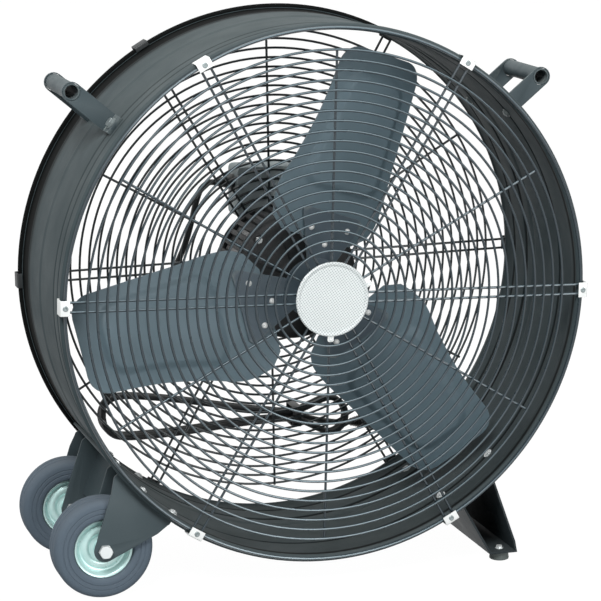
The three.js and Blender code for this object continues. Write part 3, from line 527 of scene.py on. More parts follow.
def noise(tree, scale, detail, roughness):
    made = put(tree, "TexNoise", Vector=surface_spot(tree), Scale=scale, Detail=detail, Roughness=roughness)
    return made.outputs["Fac"]


def surface_grain():
    """Fine texture of paint, rubber or plastic, and slow changes of tone over the surface."""
    tree, inlets, outlets = effect("surface_grain", ["Size", "Patch Size"], ["Height", "Tone"])
    wire(noise(tree, inlets["Size"], 3.0, 0.55), outlets["Height"])
    wire(noise(tree, inlets["Patch Size"], 4.0, 0.6), outlets["Tone"])
    return tree


def worn_edges():
    """Where an outer edge is rubbed: sharp convex places, broken up by noise."""
    tree, inlets, outlets = effect("worn_edges", ["Start", "Full"], ["Mask"])
    edge = spread(tree, put(tree, "NewGeometry").outputs["Pointiness"], inlets["Start"], inlets["Full"])
    broken = spread(tree, noise(tree, 60.0, 5.0, 0.65), 0.4, 0.65)
    wire(times(tree, edge, broken, clamp=True), outlets["Mask"])
    return tree


def settled_dust():
    """Thin dust on what faces up, in patches."""
    tree, inlets, outlets = effect("settled_dust", ["Amount"], ["Mask"])
    upward = spread(tree, axes(tree, surface_normal(tree))["Z"], 0.1, 1.0)
    patches = spread(tree, noise(tree, 9.0, 6.0, 0.7), 0.35, 0.7, 0.35, 1.0)
    wire(times(tree, times(tree, upward, patches), inlets["Amount"], clamp=True), outlets["Mask"])
    return tree


GRAIN = surface_grain()
EDGES = worn_edges()
DUST = settled_dust()


def finish(name, colours, roughness, slot=None, metallic=0.0, tone_share=0.5, grain=900.0, patch=14.0,
           bump=0.12, rub_at=(0.56, 0.66), dust=0.0, dust_colour="a9aca6", rough_spread=0.08, coat=0.0,
           specular=0.5):
    """A finish from its tone, another tone and that of rubbed edges, with fine grain and dust if asked."""
    material = bpy.data.materials.new(name)
    material["slot"] = slot or name
    material.use_nodes = True
    tree = material.node_tree
    shader = tree.nodes["Principled BSDF"]
    for label, value in (("Metallic", metallic), ("Coat Weight", coat), ("Coat Roughness", COAT_ROUGHNESS),
                         ("Specular IOR Level", specular)):
        wire(value, shader.inputs[label])
    colour, other, rubbed = (linear(tone) for tone in colours)
    texture = put(tree, "Group", node_tree=GRAIN, Size=grain, Patch_Size=patch)
    slow = texture.outputs["Tone"]
    shown = blend_colours(tree, spread(tree, slow, *TONE_RANGE, 0.0, tone_share), colour, other)
    rough = spread(tree, slow, *TONE_RANGE, roughness - rough_spread, roughness + rough_spread)
    worn = put(tree, "Group", node_tree=EDGES, Start=rub_at[0], Full=rub_at[1])
    shown = blend_colours(tree, worn.outputs["Mask"], shown, rubbed)
    if dust:
        mask = put(tree, "Group", node_tree=DUST, Amount=dust).outputs["Mask"]
        shown = blend_colours(tree, mask, shown, linear(dust_colour))
        rough = spread(tree, math_node(tree, "ADD", rough, mask), 0.0, 1.0)
    hump = put(tree, "Bump", Height=texture.outputs["Height"], Strength=bump, Distance=0.001)
    wire(shown, shader.inputs["Base Color"])
    wire(rough, shader.inputs["Roughness"])
    wire(hump.outputs["Normal"], shader.inputs["Normal"])
    return material


drum_paint = finish("drum_paint", ("414c50", "394448", "8a9290"), 0.52, dust=0.12, specular=0.2)
blade_paint = finish("blade_paint", ("5c6e77", "54676f", "8d979c"), 0.46, dust=0.1, specular=0.3)
spider_paint = finish("spider_paint", ("4b5861", "445059", "8a9290"), 0.5, "drum_paint", dust=0.1,
                      specular=0.3)
# Painted shade: a near-black copy of the drum paint for the foot bracket, which sits in shade under the drum.
foot_bracket_painted_shade = finish("foot_bracket_painted_shade", ("262d30", "20272a", "5c6366"), 0.52, "drum_paint", dust=0.05,
                    specular=0.2)
rear_wire_paint = finish("rear_wire_paint", ("343d40", "2d3538", "7c8485"), 0.34, "wire_paint",
                         metallic=0.2, bump=0.04, grain=1600.0, coat=0.3, rub_at=(0.62, 0.74))
# Rear clips: near black, much darker than the silver front clips.
rear_clip_near_black = finish("rear_clip_near_black", ("13181a", "191e20", "3f4547"), 0.55, "wire_paint", bump=0.08,
                    rub_at=(0.56, 0.68))
black_paint = finish("black_paint", ("0c0f11", "12171a", "434a4e"), 0.55, bump=0.2, grain=700.0,
                     rub_at=(0.58, 0.7), dust=0.05, dust_colour="8d999e")
zinc = finish("zinc", ("c6e2df", "afd2cf", "eef6f4"), 0.34, metallic=0.4, tone_share=0.8, grain=500.0,
              patch=40.0, bump=0.05, rough_spread=0.1, dust=0.08)
bright_steel = finish("bright_steel", ("e6eaea", "d3d9da", "f0f2f2"), 0.3, metallic=0.5, tone_share=0.7,
                      grain=800.0, patch=60.0, bump=0.04, rub_at=(0.58, 0.7))
dull_steel = finish("dull_steel", ("8d9697", "767f80", "b9c0c0"), 0.45, "bright_steel", metallic=0.6,
                    tone_share=0.8, grain=800.0, patch=60.0, bump=0.06, rub_at=(0.56, 0.68))
silver = finish("silver", ("e8eae9", "dadddc", "f6f7f7"), 0.42, metallic=0.15, bump=0.05,
                rub_at=(0.57, 0.68))
tyre_rubber = finish("tyre_rubber", ("505c67", "576470", "6f7880"), 0.8, grain=1500.0, bump=0.3,
                     rub_at=(0.54, 0.64), dust=0.3, dust_colour="83888a", specular=0.3)
black_rubber = finish("black_rubber", ("1d2022", "282b2d", "44484a"), 0.6, grain=1500.0, bump=0.15,
                      rub_at=(0.6, 0.75), dust=0.15)
foot_rubber = finish("foot_rubber", ("59605f", "4f5655", "747b7a"), 0.78, "black_rubber", grain=1200.0,
                     bump=0.3, rub_at=(0.55, 0.66), dust=0.1)
box_plastic = finish("box_plastic", ("8d9b9e", "869497", "a9b3b4"), 0.55, grain=700.0, bump=0.25,
                     rub_at=(0.55, 0.65), dust=0.12)
# Painted light: a much paler copy of the box plastic for the box's floor, which faces forwards from the
# drum's shaded back.
box_floor_painted_light = finish("box_floor_painted_light", ("cfdadd", "c4d0d3", "dfe7e8"), 0.6, "box_plastic",
                           grain=700.0, bump=0.25, rub_at=(0.55, 0.65))
black_plastic = finish("black_plastic", ("161718", "1d1f20", "3c3e3f"), 0.45, grain=700.0, bump=0.2,
                       rub_at=(0.55, 0.66), dust=0.12)
laminations = finish("laminations", ("77797a", "6a6462", "a2a4a4"), 0.5, metallic=0.7, grain=400.0,
                     bump=0.2, rub_at=(0.55, 0.66))


def opened(material):
    """A finish's node tree, its shader's inputs and the colour that it shows so far."""
    tree = material.node_tree
    inputs = tree.nodes["Principled BSDF"].inputs
    return tree, inputs, inputs["Base Color"].links[0].from_socket


def front_wire_painted_highlight():
    """Wire paint with a painted highlight: paler along the side that faces forwards and up."""
    material = finish("front_wire_painted_highlight", ("26333a", "202b31", "7f8b8f"), 0.28, "wire_paint",
                      metallic=0.2, bump=0.04, grain=1600.0, coat=0.4, rub_at=(0.62, 0.74))
    tree, inputs, shown = opened(material)
    normal = axes(tree, surface_normal(tree))
    forwards = times(tree, normal["Y"], -0.8)
    upwards = times(tree, normal["Z"], 0.6)
    # Painted highlight along the wire's upper front side, where light from above and in front would catch it.
    painted_highlight = spread(tree, math_node(tree, "ADD", forwards, upwards), 0.84, 0.97)
    wire(blend_colours(tree, painted_highlight, shown, linear("67777e")), inputs["Base Color"])
    return material


def dotted_silver():
    """Silver with a close grid of small dots, for the badge."""
    material = finish("dotted_silver", ("d4d9d9", "cacfcf", "f2f4f4"), 0.45, "silver", metallic=0.1,
                      bump=0.05, grain=1200.0, rub_at=(0.57, 0.68))
    tree, inputs, shown = opened(material)
    turn = put(tree, "Mapping", Vector=surface_spot(tree), Rotation=(0.0, radians(-10), 0.0))
    spot = axes(tree, turn.outputs["Vector"])
    waves = [math_node(tree, "SINE", times(tree, spot[axis], BADGE_DOTS)) for axis in "XZ"]
    dots = spread(tree, times(tree, *waves), -0.6, -0.05)
    hump = put(tree, "Bump", Height=dots, Strength=0.4, Distance=0.0004)
    wire(hump.outputs["Normal"], inputs["Normal"])
    wire(blend_colours(tree, dots, linear("98a1a3"), shown), inputs["Base Color"])
    return material


def drum_paint_with_painted_shade():
    """Drum paint with painted shade: near black down in the pressed lines and in the channel before the rear
    edge, where shade falls.
    """
    material = finish("drum_skin_painted_shade", ("3d474a", "353f42", "8a9290"), 0.62, "drum_paint", dust=0.1,
                      specular=0.1)
    tree, inputs, shown = opened(material)
    spot = axes(tree, surface_spot(tree))
    normal = axes(tree, surface_normal(tree))
    outward = [times(tree, normal[axis], math_node(tree, "SUBTRACT", spot[axis], middle))
               for axis, middle in (("X", CENTRE.x), ("Z", CENTRE.z))]
    outside = math_node(tree, "GREATER_THAN", math_node(tree, "ADD", *outward), 0.0)
    inside = math_node(tree, "SUBTRACT", 1.0, outside)
    # Painted shade on the outside before the rear edge: it fades in from the rear channel's front, is full
    # from there on, and stops short of the bead's edge.
    begun = spread(tree, spot["Y"], CENTRE.y + REAR_SHADE_START * MM, CENTRE.y + REAR_SHADE_FULL * MM)
    ended = math_node(tree, "LESS_THAN", spot["Y"], CENTRE.y + REAR_SHADE_END * MM)
    painted_shade = times(tree, times(tree, begun, ended), outside)
    inner_lines = [*INNER_LINES, (RIM_GROOVE_SHADE_Y, 3, 0)]
    # Painted shade down in each pressed line, inside and outside, and in the line by the front bead.
    for side, lines, strength in ((inside, inner_lines, 0.88), (outside, OUTER_LINES, 0.45)):
        for y, half, _ in lines:
            away = math_node(tree, "SUBTRACT", spot["Y"], CENTRE.y + y * MM)
            line = spread(tree, math_node(tree, "ABSOLUTE", away), (half - 1.4) * MM, (half + 0.6) * MM,
                          strength, 0.0)
            painted_shade = larger(tree, painted_shade, times(tree, line, side))
    wire(blend_colours(tree, painted_shade, shown, linear("040606")), inputs["Base Color"])
    rough = inputs["Roughness"]
    rougher = times(tree, painted_shade, 0.85)
    wire(larger(tree, rough.links[0].from_socket, rougher), rough)
    return material


# ---- cord and plug
def hank_z(x):
    return HANK_Z - HANK_SLOPE * x


def run_half(x):
    """Half the hank's height on a run, from the end's radius down to the waist."""
    end, radius = HANK_LEFT if x < HANK_WAIST_X else HANK_RIGHT
    share = (x - end) / (HANK_WAIST_X - end)
    return HANK_WAIST_HALF + (radius - HANK_WAIST_HALF) * (0.5 + 0.5 * cos(pi * share))


def hank_step(step):
    """One step of the way round: left end, lower run, right end, upper run and back."""
    y = CORD_REST_Y + CORD_LAYER * step / HANK_STEPS
    quarter = HANK_STEPS / 8
    back, part = divmod((step + quarter) % HANK_STEPS, 4 * quarter)
    side, (x, radius), (far_x, _) = (-1, HANK_RIGHT, HANK_LEFT) if back else (1, HANK_LEFT, HANK_RIGHT)
    if part < 2 * quarter:
        angle = radians(90 * side + 90 * part / quarter)
        x += radius * cos(angle)
        return x, y, hank_z(x) + radius * sin(angle)
    x += (far_x - x) * (part / (2 * quarter) - 1)
    return x, y, hank_z(x) - side * run_half(x)


def cord_route():
    rest = CORD_REST_Y
    start = (-BOX_WIDTH / 2 - 2 * GAP - GLAND_LENGTH, GLAND_Y, GLAND_Z)
    hank_x = HANK_LEFT[0] - HANK_LEFT[1]
    hank_top = hank_z(hank_x) + 12
    lead = [
        start, (-77, GLAND_Y, GLAND_Z), (-88, GLAND_Y - 2, 97), (-97, rest + 9, 80), (-104, rest + 4, 58),
        (-114, rest, 28), (-126, rest, 0), (-143, rest, -38), (-165, rest, -80), (-190, rest, -120),
        (-212, rest, -152), (-226, rest, -180), (hank_x, rest, hank_top + CORD_D),
    ]
    loops = [hank_step(step) for step in range(HANK_LOOPS * HANK_STEPS + HANK_LAST_STEPS)]
    x, y, z = loops[-1]
    px, py, pz = PLUG_START
    tail = [(x + 16, y + 0.5, z - 1.5), (x + 38, y + 1, z - 8), (px - 20, py + 1, pz + 1),
            (px - CORD_D, py, pz), (px - GAP, py, pz)]
    return [*lead, (hank_x, rest, hank_top), (hank_x, rest, hank_top - CORD_D), *loops, *tail]


def smooth_route(route, steps=8):
    """Centripetal Catmull-Rom line through the route's points."""
    knots = [Vector(point) for point in route]
    knots = [2 * knots[0] - knots[1], *knots, 2 * knots[-1] - knots[-2]]
    levels = (((0, 1), (1, 2), (2, 3)), ((0, 2), (1, 3)), ((1, 2),))
    made = []
    for four in zip(knots, knots[1:], knots[2:], knots[3:]):
        when = [0]
        for a, b in zip(four, four[1:]):
            when.append(when[-1] + (b - a).length ** 0.5)
        for step in range(steps):
            t = when[1] + (when[2] - when[1]) * step / steps
            points = four
            for spans in levels:
                shares = [(t - when[low]) / (when[high] - when[low]) for low, high in spans]
                points = [a * (1 - share) + b * share for a, b, share in zip(points, points[1:], shares)]
            made.append(points[0])
    return [*made, knots[-2]]


def ribs(count, start, pitch, radius, growth, depth, end):
    """Profile of a ribbed sleeve that widens or narrows from rib to rib."""
    made = []
    for rib in range(count):
        y, r = start + rib * pitch, radius + rib * growth
        made += [(r, y), (r, y + 1.7), (r - depth, y + 2.1), (r - depth, y + end)]
    return made


def mains_plug():
    """Moulded plug with a ribbed neck, a fluted grip and two round pins."""
    body = lathe([(0, 0), (5.2, 0), *ribs(5, 1.5, 2.9, 5.6, 0.75, 1.1, 2.7), (9, 16.5), (9, 21), (11, 26),
                  (13.2, 32), (14, 36), (14, 44.6), (13, 46), (0, 46)], 48)
    flute = plate(rectangle(-1, 0, 1, 1.2, 0.4), 24, 40)
    flutes = [pointed_at(moved(flute, 0, 0, 12.6 if i % 3 else 12.2), 30 * i) for i in range(12)]
    pin = lathe([(0, 45), (2.4, 45), (2.4, 62.8), (1.6, 64.6), (0, 65)], 24)
    pins = [moved(pin, side * PIN_SPACING / 2, 0, 0) for side in (-1, 1)]

    def to_side(x, y, z):
        return PLUG_START[0] + y, PLUG_START[1] - x, PLUG_START[2] + z

    return (piece("plug_body", mapped(merged(body, *flutes), to_side), black_plastic, "plug"),
            piece("plug_pins", mapped(merged(*pins), to_side), bright_steel))


def mains_cord():
    line = [at(*point) for point in smooth_route(cord_route())]
    data = bpy.data.curves.new("mains_cord", "CURVE")
    data.dimensions = "3D"
    data.bevel_depth = CORD_D / 2 * MM
    data.bevel_resolution = 4
    data.use_fill_caps = True
    spline = data.splines.new("POLY")
    spline.points.add(len(line) - 1)
    for point, spot in zip(spline.points, line):
        point.co = (*spot, 1)
    data.materials.append(black_rubber)
    made = add_object("mains_cord", data)
    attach(made, "fan_frame")
    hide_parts("cord_lead", "cord_hank")
    mains_plug()


mains_cord()


# ---- drum
def wall_face(grow, pressed):
    """Profile of one face of the wall, with its step, swage, flare and pressed lines."""
    flare_end = REAR_Y - 2 * BEAD_R

    def flare(y):
        return REAR_FLARE * max(0, y - FLARE_Y) / (flare_end - FLARE_Y)

    turns = [(STEP_Y - 5, -FRONT_STEP), (STEP_Y, 0), (SWAGE_Y - 6, 0), (SWAGE_Y, SWAGE), (SWAGE_Y + 6, 0),
             (FLARE_Y, 0), (flare_end, REAR_FLARE)]
    for y, half, depth in pressed:
        for across, share in ((-half, 0), (1.2 - half, 1), (half - 1.2, 1), (half, 0)):
            turns.append((y + across, flare(y + across) + depth * share))
    return rounded([(WALL_R + grow + rise, y) for y, rise in sorted(turns)], 1.6, 3)


def drum():
    front_bead = (FRONT_RIM_R - BEAD_R, FRONT_Y + BEAD_R)
    rear_bead = (REAR_RIM_R - BEAD_R, REAR_Y - BEAD_R)
    profile = [*arc(front_bead, BEAD_R, -220, 105, 18), *wall_face(0, [*OUTER_LINES, REAR_CHANNEL]),
               *arc(rear_bead, BEAD_R, -105, 220, 18), *reversed(wall_face(-SHEET, INNER_LINES))]
    # The skin's paint carries painted shade in its pressed lines and before the rear edge.
    piece("drum_skin", lathe(profile, 192, ring=True), drum_paint_with_painted_shade(), "drum_shell",
          crease=SOFT_CREASE)


drum()


# ---- guards, clips and badge
def guard(plate_shape, plate_r, rim_r):
    """Round wire guard, drawn with the rim plane at y = 0 and its outside towards -Y."""
    crest = rim_r - BEAD_R
    edge_r = crest - EDGE_INSET
    count = ceil((crest - EDGE_ROOM - FIRST_RING_R) / RING_PITCH)
    rings = [FIRST_RING_R + RING_PITCH * i for i in range(count)]
    shapes = [plate_shape, wire_ring(edge_r, EDGE_WIRE_R, -SPOKE_Y - 0.4, 160)]
    shapes += [wire_ring(r, WIRE_R, -RING_Y, 96 if r < 150 else 144) for r in rings if r > plate_r]
    start, half = plate_r - 2, SPOKE_PAIR_GAP / 2
    for first, end, offset in ((0, edge_r, -half), (0, edge_r, half), (180 / ARMS, rings[-1] + WIRE_R, 0)):
        shapes += around(rod((start, -SPOKE_Y, offset), (end, -SPOKE_Y, offset), WIRE_R), ARMS, first)
    return pointed_at(merged(*shapes), GUARD_TURN)


def guards():
    front_plate = lathe([(0, -0.6), (FRONT_PLATE_R, -0.6), (FRONT_PLATE_R, -3.4), (0, -3.4)])
    front = guard(front_plate, FRONT_PLATE_R, FRONT_RIM_R)
    piece("front_guard_wires", moved(front, 0, FRONT_Y, 0), front_wire_painted_highlight(), "front_guard")
    edge = REAR_PLATE_R - 0.6
    rear_plate = lathe([(0, -0.3), (edge, -0.3), (REAR_PLATE_R, -0.9), (REAR_PLATE_R, -2.7), (edge, -3.3),
                        (30, -3.3), (27, -2.6), (0, -2.6)])
    rear = guard(rear_plate, REAR_PLATE_R, REAR_RIM_R)
    piece("rear_guard_wires", turned_back(rear, REAR_Y), rear_wire_paint, "rear_guard")
    bolts = around(moved(hex_head(*MOUNT_BOLT), MOUNT_BOLT_R, -3.3, 0), 4, 45)
    piece("mount_bolts", turned_back(merged(*bolts), REAR_Y), bright_steel)


def clips():
    lip = FRONT_Y - GUARD_FACE - GAP - CLIP_SHEET
    hook = FRONT_Y + 2 * BEAD_R + GAP + CLIP_SHEET
    for end, turn, rim_r, material in (("front", 1, FRONT_RIM_R, silver),
                                       ("rear", -1, REAR_RIM_R, rear_clip_near_black)):
        outer = rim_r + GAP + CLIP_SHEET
        line = [(outer - CLIP_REACH, lip), (outer, lip), (outer, hook), (rim_r - BEAD_R, hook)]
        strap = plate(strip(rounded(line, 2.6), CLIP_SHEET), -CLIP_WIDTH / 2, CLIP_WIDTH / 2, 0.35)
        strap = mapped(strap, lambda x, y, z: (x, z, y))
        screw = moved(screw_head(3.4, 1.1), outer - CLIP_REACH / 2 - 0.5, lip, 0)
        if end == "rear":
            strap, screw = turned_back(strap, 0), turned_back(screw, 0)
        for i in range(ARMS):
            angle = turn * (360 / ARMS * i + GUARD_TURN)
            piece(f"{end}_clip_{i + 1}_shown", pointed_at(strap, angle), material, f"{end}_clip_{i + 1}")
            piece(f"{end}_clip_screw_{i + 1}_shown", pointed_at(screw, angle), dull_steel)


def badge():
    back = FRONT_Y - GUARD_FACE - GAP
    face = back - BADGE_DEPTH
    shell = lathe([(0, back), (BADGE_R - 2, back), (BADGE_R - 0.5, back - 0.6), (BADGE_R, back - 1.8),
                   (BADGE_R - 0.3, face + 0.8), (BADGE_R - 1.4, face), (BADGE_R - 3.4, face),
                   (BADGE_R - 4.6, face + 0.7), (BADGE_R - 5, face + 1.5), (0, face + 1.3)], 128)
    piece("badge_disc", shell, dotted_silver(), "badge")
    tab = plate(rectangle(BADGE_R - 3, -4, BADGE_R + 7, 4, 2.5, 4), back - 1.5, back)
    screw = moved(screw_head(2.4, 1.2), BADGE_R + 3.2, back - 1.5, 0)
    for name, shape, material in (("badge_tabs", tab, silver), ("badge_screws", screw, bright_steel)):
        piece(name, merged(*[pointed_at(shape, angle) for angle in (20, -92)]), material)


guards()
clips()
badge()


# ---- rotor
def between(table, r):
    """Smooth line through a table of radius and value."""
    spots = [Vector(point) for point in table]
    last = len(spots) - 1
    i = next((k for k in range(last) if r <= spots[k + 1].x), last - 1)
    a, b = spots[i], spots[i + 1]
    before, after = spots[max(i - 1, 0)], spots[min(i + 2, last)]
    t = (r - a.x) / (b.x - a.x)
    slope_a = (b.y - before.y) / (b.x - before.x) * (b.x - a.x)
    slope_b = (after.y - a.y) / (after.x - a.x) * (b.x - a.x)
    return ((2 * t ** 3 - 3 * t ** 2 + 1) * a.y + (t ** 3 - 2 * t ** 2 + t) * slope_a
            + (3 * t ** 2 - 2 * t ** 3) * b.y + (t ** 3 - t ** 2) * slope_b)


def on_sheet(r, t, depth):
    """Point on the pitched and cambered sheet; depth is from its front face backwards."""
    bend = t / cos(PITCH) / BLADE_CAMBER_R
    along = (BLADE_CAMBER_R - depth) * sin(bend)
    normal = BLADE_CAMBER_R - (BLADE_CAMBER_R - depth) * cos(bend)
    return (r, BLADE_Y + normal * cos(PITCH) - along * sin(PITCH),
            along * cos(PITCH) + normal * sin(PITCH))


def bent_sheet(rows, columns, widths, front, thickness, rise):
    """Closed sheet: rows along the radius, columns as shares of the width."""
    points, count = [], len(rows) * len(columns)
    for side in (front, front + thickness):
        for r in rows:
            low, high = widths(r)
            for u in columns:
                t = -low + (low + high) * u
                points.append(on_sheet(r, t, side - rise(r, t)))
    across = len(columns)
    faces = []
    for i in range(len(rows) - 1):
        for j in range(across - 1):
            a = i * across + j
            faces.append([a, a + 1, a + across + 1, a + across])
            faces.append([count + a, count + a + across, count + a + across + 1, count + a + 1])
        for j in (0, across - 1):
            a = i * across + j
            faces.append([a, a + across, count + a + across, count + a])
    for j in range(across - 1):
        for first in (0, (len(rows) - 1) * across):
            a = first + j
            faces.append([a, a + 1, count + a + 1, count + a])
    return points, faces


def blade_widths(r):
    past = max(0, r - (BLADE_TIP_R - TIP_ROUND))
    inset = TIP_ROUND - sqrt(max(0, TIP_ROUND ** 2 - past ** 2))
    root = max(0, BLADE_ROOT_R + 14 - r)
    less = inset * 0.9 + root
    return between(TRAILING, r) - less, between(LEADING, r) - less


def panel_rise(r, t):
    """The embossed panel: a rounded field whose edges rise over a few millimetres."""
    middle_r, half_r = (PANEL_FROM + PANEL_TO) / 2, (PANEL_TO - PANEL_FROM) / 2
    low, high = between(TRAILING, r) - 21, between(LEADING, r) - 22
    middle_t, half_t = (high - low) / 2, (high + low) / 2
    dx = max(abs(r - middle_r) - half_r + PANEL_CORNER, 0)
    dt = max(abs(t - middle_t) - half_t + PANEL_CORNER, 0)
    outside = hypot(dx, dt) - PANEL_CORNER
    share = min(max(0.5 - outside / PANEL_SLOPE, 0), 1)
    return PANEL_RISE * share ** 1.5 * (2.5 - 1.5 * share)


def spread_between(stops, step):
    """Values from stop to stop, no further apart than step."""
    made = [stops[0]]
    for low, high in zip(stops, stops[1:]):
        count = max(1, ceil((high - low) / step))
        made += [low + (high - low) * (i + 1) / count for i in range(count)]
    return made


def arm_widths(r):
    """Widths of a spider's arm on each side of its axis, with a rounded end."""
    past = max(0, r - (SPIDER_R - 10)) / 10
    corner = 8 * (1 - sqrt(max(0, 1 - past * past)))
    share = (r - HUB_R) / (SPIDER_R - HUB_R)
    return 12 + 32 * share - corner, 14 + 38 * share - corner


def arm_rib(r, t):
    share = min(max((82 - r) / 10, 0), 1) * min(max((r - 24) / 10, 0), 1)
    return 1.6 * share * exp(-(t / 7) ** 2)


def rotor():
    tip = BLADE_TIP_R
    stops = [BLADE_ROOT_R, BLADE_ROOT_R + 14, 112, 142, 258, 286, tip - 8, tip - 3, tip - 1, tip]
    blade = bent_sheet(spread_between(stops, 3), spread_between([0, 1], 0.018), blade_widths, 0,
                       BLADE_SHEET, panel_rise)
    arm = bent_sheet(spread_between([HUB_R - 4, SPIDER_R - 10, SPIDER_R], 9), spread_between([0, 1], 0.08),
                     arm_widths, SPIDER_FRONT, SPIDER_SHEET, arm_rib)
    rivets = []
    for r, t in ARM_RIVETS:
        spot = Vector(on_sheet(r, t, SPIDER_FRONT))
        normal = Vector(on_sheet(r, t, SPIDER_FRONT - 1)) - spot
        rivets.append(facing(dome_head(4, 3), normal, spot))
    for i, sheet in enumerate(around(blade, BLADES, BLADE_AXIS), 1):
        piece(f"blade_{i}_sheet", sheet, blade_paint, f"blade_{i}", "rotor", SOFT_CREASE)
    bore, half = SHAFT_R + GAP, HUB_LENGTH / 2
    hub = lathe([(bore, -half), (HUB_R - 1.2, -half), (HUB_R, 1.2 - half), (HUB_R, -9), (38, -9),
                 (38.6, -7.5), (38, -6), (HUB_R + 2, -6), (HUB_R, -3), (HUB_R, half - 1),
                 (HUB_R - 1, half), (bore, half)], 64, ring=True)
    spider = merged(moved(hub, 0, BLADE_Y, 0), *around(arm, BLADES, BLADE_AXIS))
    piece("spider_and_hub", spider, spider_paint, "spider", "rotor", SOFT_CREASE)
    piece("blade_rivets", merged(*around(merged(*rivets), BLADES, BLADE_AXIS)), silver, body="rotor")
    screw = lathe([(0, 0), (3.4, 0), (3.4, -2.6), (2.6, -3), (1.6, -3), (1.5, -1), (0, -1)], 24)
    screw = facing(screw, (0, 0, 1), (0, BLADE_Y + 8, HUB_R - 0.6))
    piece("hub_set_screw", pointed_at(screw, BLADE_AXIS - 60), bright_steel, body="rotor")
    nose = lathe([(0, SHAFT_FRONT), (SHAFT_R - 1.4, SHAFT_FRONT), (SHAFT_R, SHAFT_FRONT + 1.4),
                  (SHAFT_R, SHAFT_BACK - 1), (SHAFT_R - 1, SHAFT_BACK), (0, SHAFT_BACK)], 48)
    piece("motor_shaft", nose, bright_steel, "shaft", "rotor")


rotor()


# ---- motor and its mount
def motor_cap():
    """A motor's end shield with webs and bolt bosses, drawn with its outer face at y = 0."""
    bore = BEARING_SEAT_R
    disc = lathe([(SHAFT_R + 2, 0), (bore + 4.5, 0), (bore + 6, 1.2), (bore + 9, 3.2), (MOTOR_R - 14, 7.4),
                  (MOTOR_R - 5, 10.5), (MOTOR_R - 1.2, 14), (MOTOR_R, 17), (MOTOR_R, SHIELD_DEPTH),
                  (MOTOR_R - 4, SHIELD_DEPTH), (MOTOR_R - 4, 16), (bore + 4, 7), (bore + 4, 15.7),
                  (bore, 15.7), (bore, 3.7), (SHAFT_R + 2, 3.7)], ring=True)
    inner, outer = bore + 6, MOTOR_R - 8
    web = plate(rectangle(inner, -1.6, outer, 1.6, 1.2), 0, 4, 0.6)
    web = mapped(web, lambda x, y, z: (x, y + (x - inner) / (outer - inner) * 8.4 + 0.6, z))
    boss = moved(lathe([(0, 9), (6, 9), (7, 10), (7, 20), (0, 20)], 24), THROUGH_BOLT_R, 0, 0)
    return merged(disc, *around(web, 8, 22.5), *around(boss, 4, 45))


def motor():
    outline = []
    for i in range(FINS):
        start = 360 / FINS * i
        outline += arc((0, 0), MOTOR_R, start, start + 4.2, 2)
        outline += arc((0, 0), MOTOR_R - FIN_DEPTH, start + 5.2, start + 9, 2)
    shell = plate(outline, MOTOR_FRONT_Y + SHIELD_DEPTH + GAP, MOTOR_BACK_Y - SHIELD_DEPTH - GAP, 0.25,
                  [circle((0, 0), MOTOR_R - SHELL_DEPTH, 96)])
    piece("motor_finned_shell", shell, black_paint, "motor_shell", crease=30)
    cap = motor_cap()
    piece("motor_front_cap", moved(cap, 0, MOTOR_FRONT_Y, 0), black_paint, "motor_front_shield")
    piece("motor_rear_cap", turned_back(cap, MOTOR_BACK_Y), black_paint, "motor_rear_shield")
    heads = around(moved(hex_head(*THROUGH_BOLT), THROUGH_BOLT_R, MOTOR_FRONT_Y + 9, 0), 4, 45)
    piece("motor_through_bolts", merged(*heads), bright_steel)
    start, end = MOTOR_BACK_Y + GAP, REAR_Y - GAP
    neck = MOUNT_NECK_R
    cup = lathe([(20, start), *arc((neck + 14.5, start + 1.5), 1.5, -90, 90, 4), (neck + 1.5, start + 3),
                 (neck, start + 4.5), (neck, end - 4.5), (neck + 1.5, end - 3),
                 *arc((MOUNT_FLANGE_R - 1.5, end - 1.5), 1.5, -90, 90, 4), (neck - 3, end),
                 (neck - 3, start + 3), (20, start + 3)], ring=True)
    piece("motor_mount_cup", cup, black_paint, "motor_mount")


motor()


# ---- switch box
def switch_box():
    half, half_height = BOX_WIDTH / 2, BOX_HEIGHT / 2
    rim, face = BOX_BACK + BOX_DEPTH, LID_BACK + LID_SHEET

    def outline(inset, corner):
        wide, high = half - inset, half_height - inset
        return rectangle(-wide, BOX_Z - high, wide, BOX_Z + high, corner, 6)

    walls = plate(outline(0, 7), BOX_BACK + 1, rim, 0.4, [outline(BOX_WALL, 4.5)])
    band = plate(outline(-0.01, 7), rim - 3.6, rim - 2.4, 0.3, [outline(1.2, 6)])
    piece("switch_box_body", merged(walls, band), box_plastic, "switch_box")
    # The box's floor takes the paler copy of the plastic, painted light.
    piece("switch_box_floor", plate(outline(0, 7), BOX_BACK, BOX_BACK + 2.8, 1.2), box_floor_painted_light)
    lid = plate(outline(0, 7), LID_BACK, face, 0.9, [circle((KNOB_X, KNOB_Z), 5.5)])
    mark = plate(rectangle(KNOB_R + 2.4, -0.6, KNOB_R + 6, 0.6, 0.4), face - 0.5, face + 0.5, 0.2)
    marks = [moved(pointed_at(mark, 30 + 40 * k), KNOB_X, 0, KNOB_Z) for k in range(4)]
    piece("switch_box_cover", merged(lid, *marks), box_plastic, "switch_box_lid")
    out, over = half - 7.5, half_height - 7.5
    screws = [facing(screw_head(3.2, 1.8), (0, 1, 0), (x, face, BOX_Z + z))
              for x in (-out, out) for z in (-over, over)]
    piece("cover_screws", merged(*screws), bright_steel)


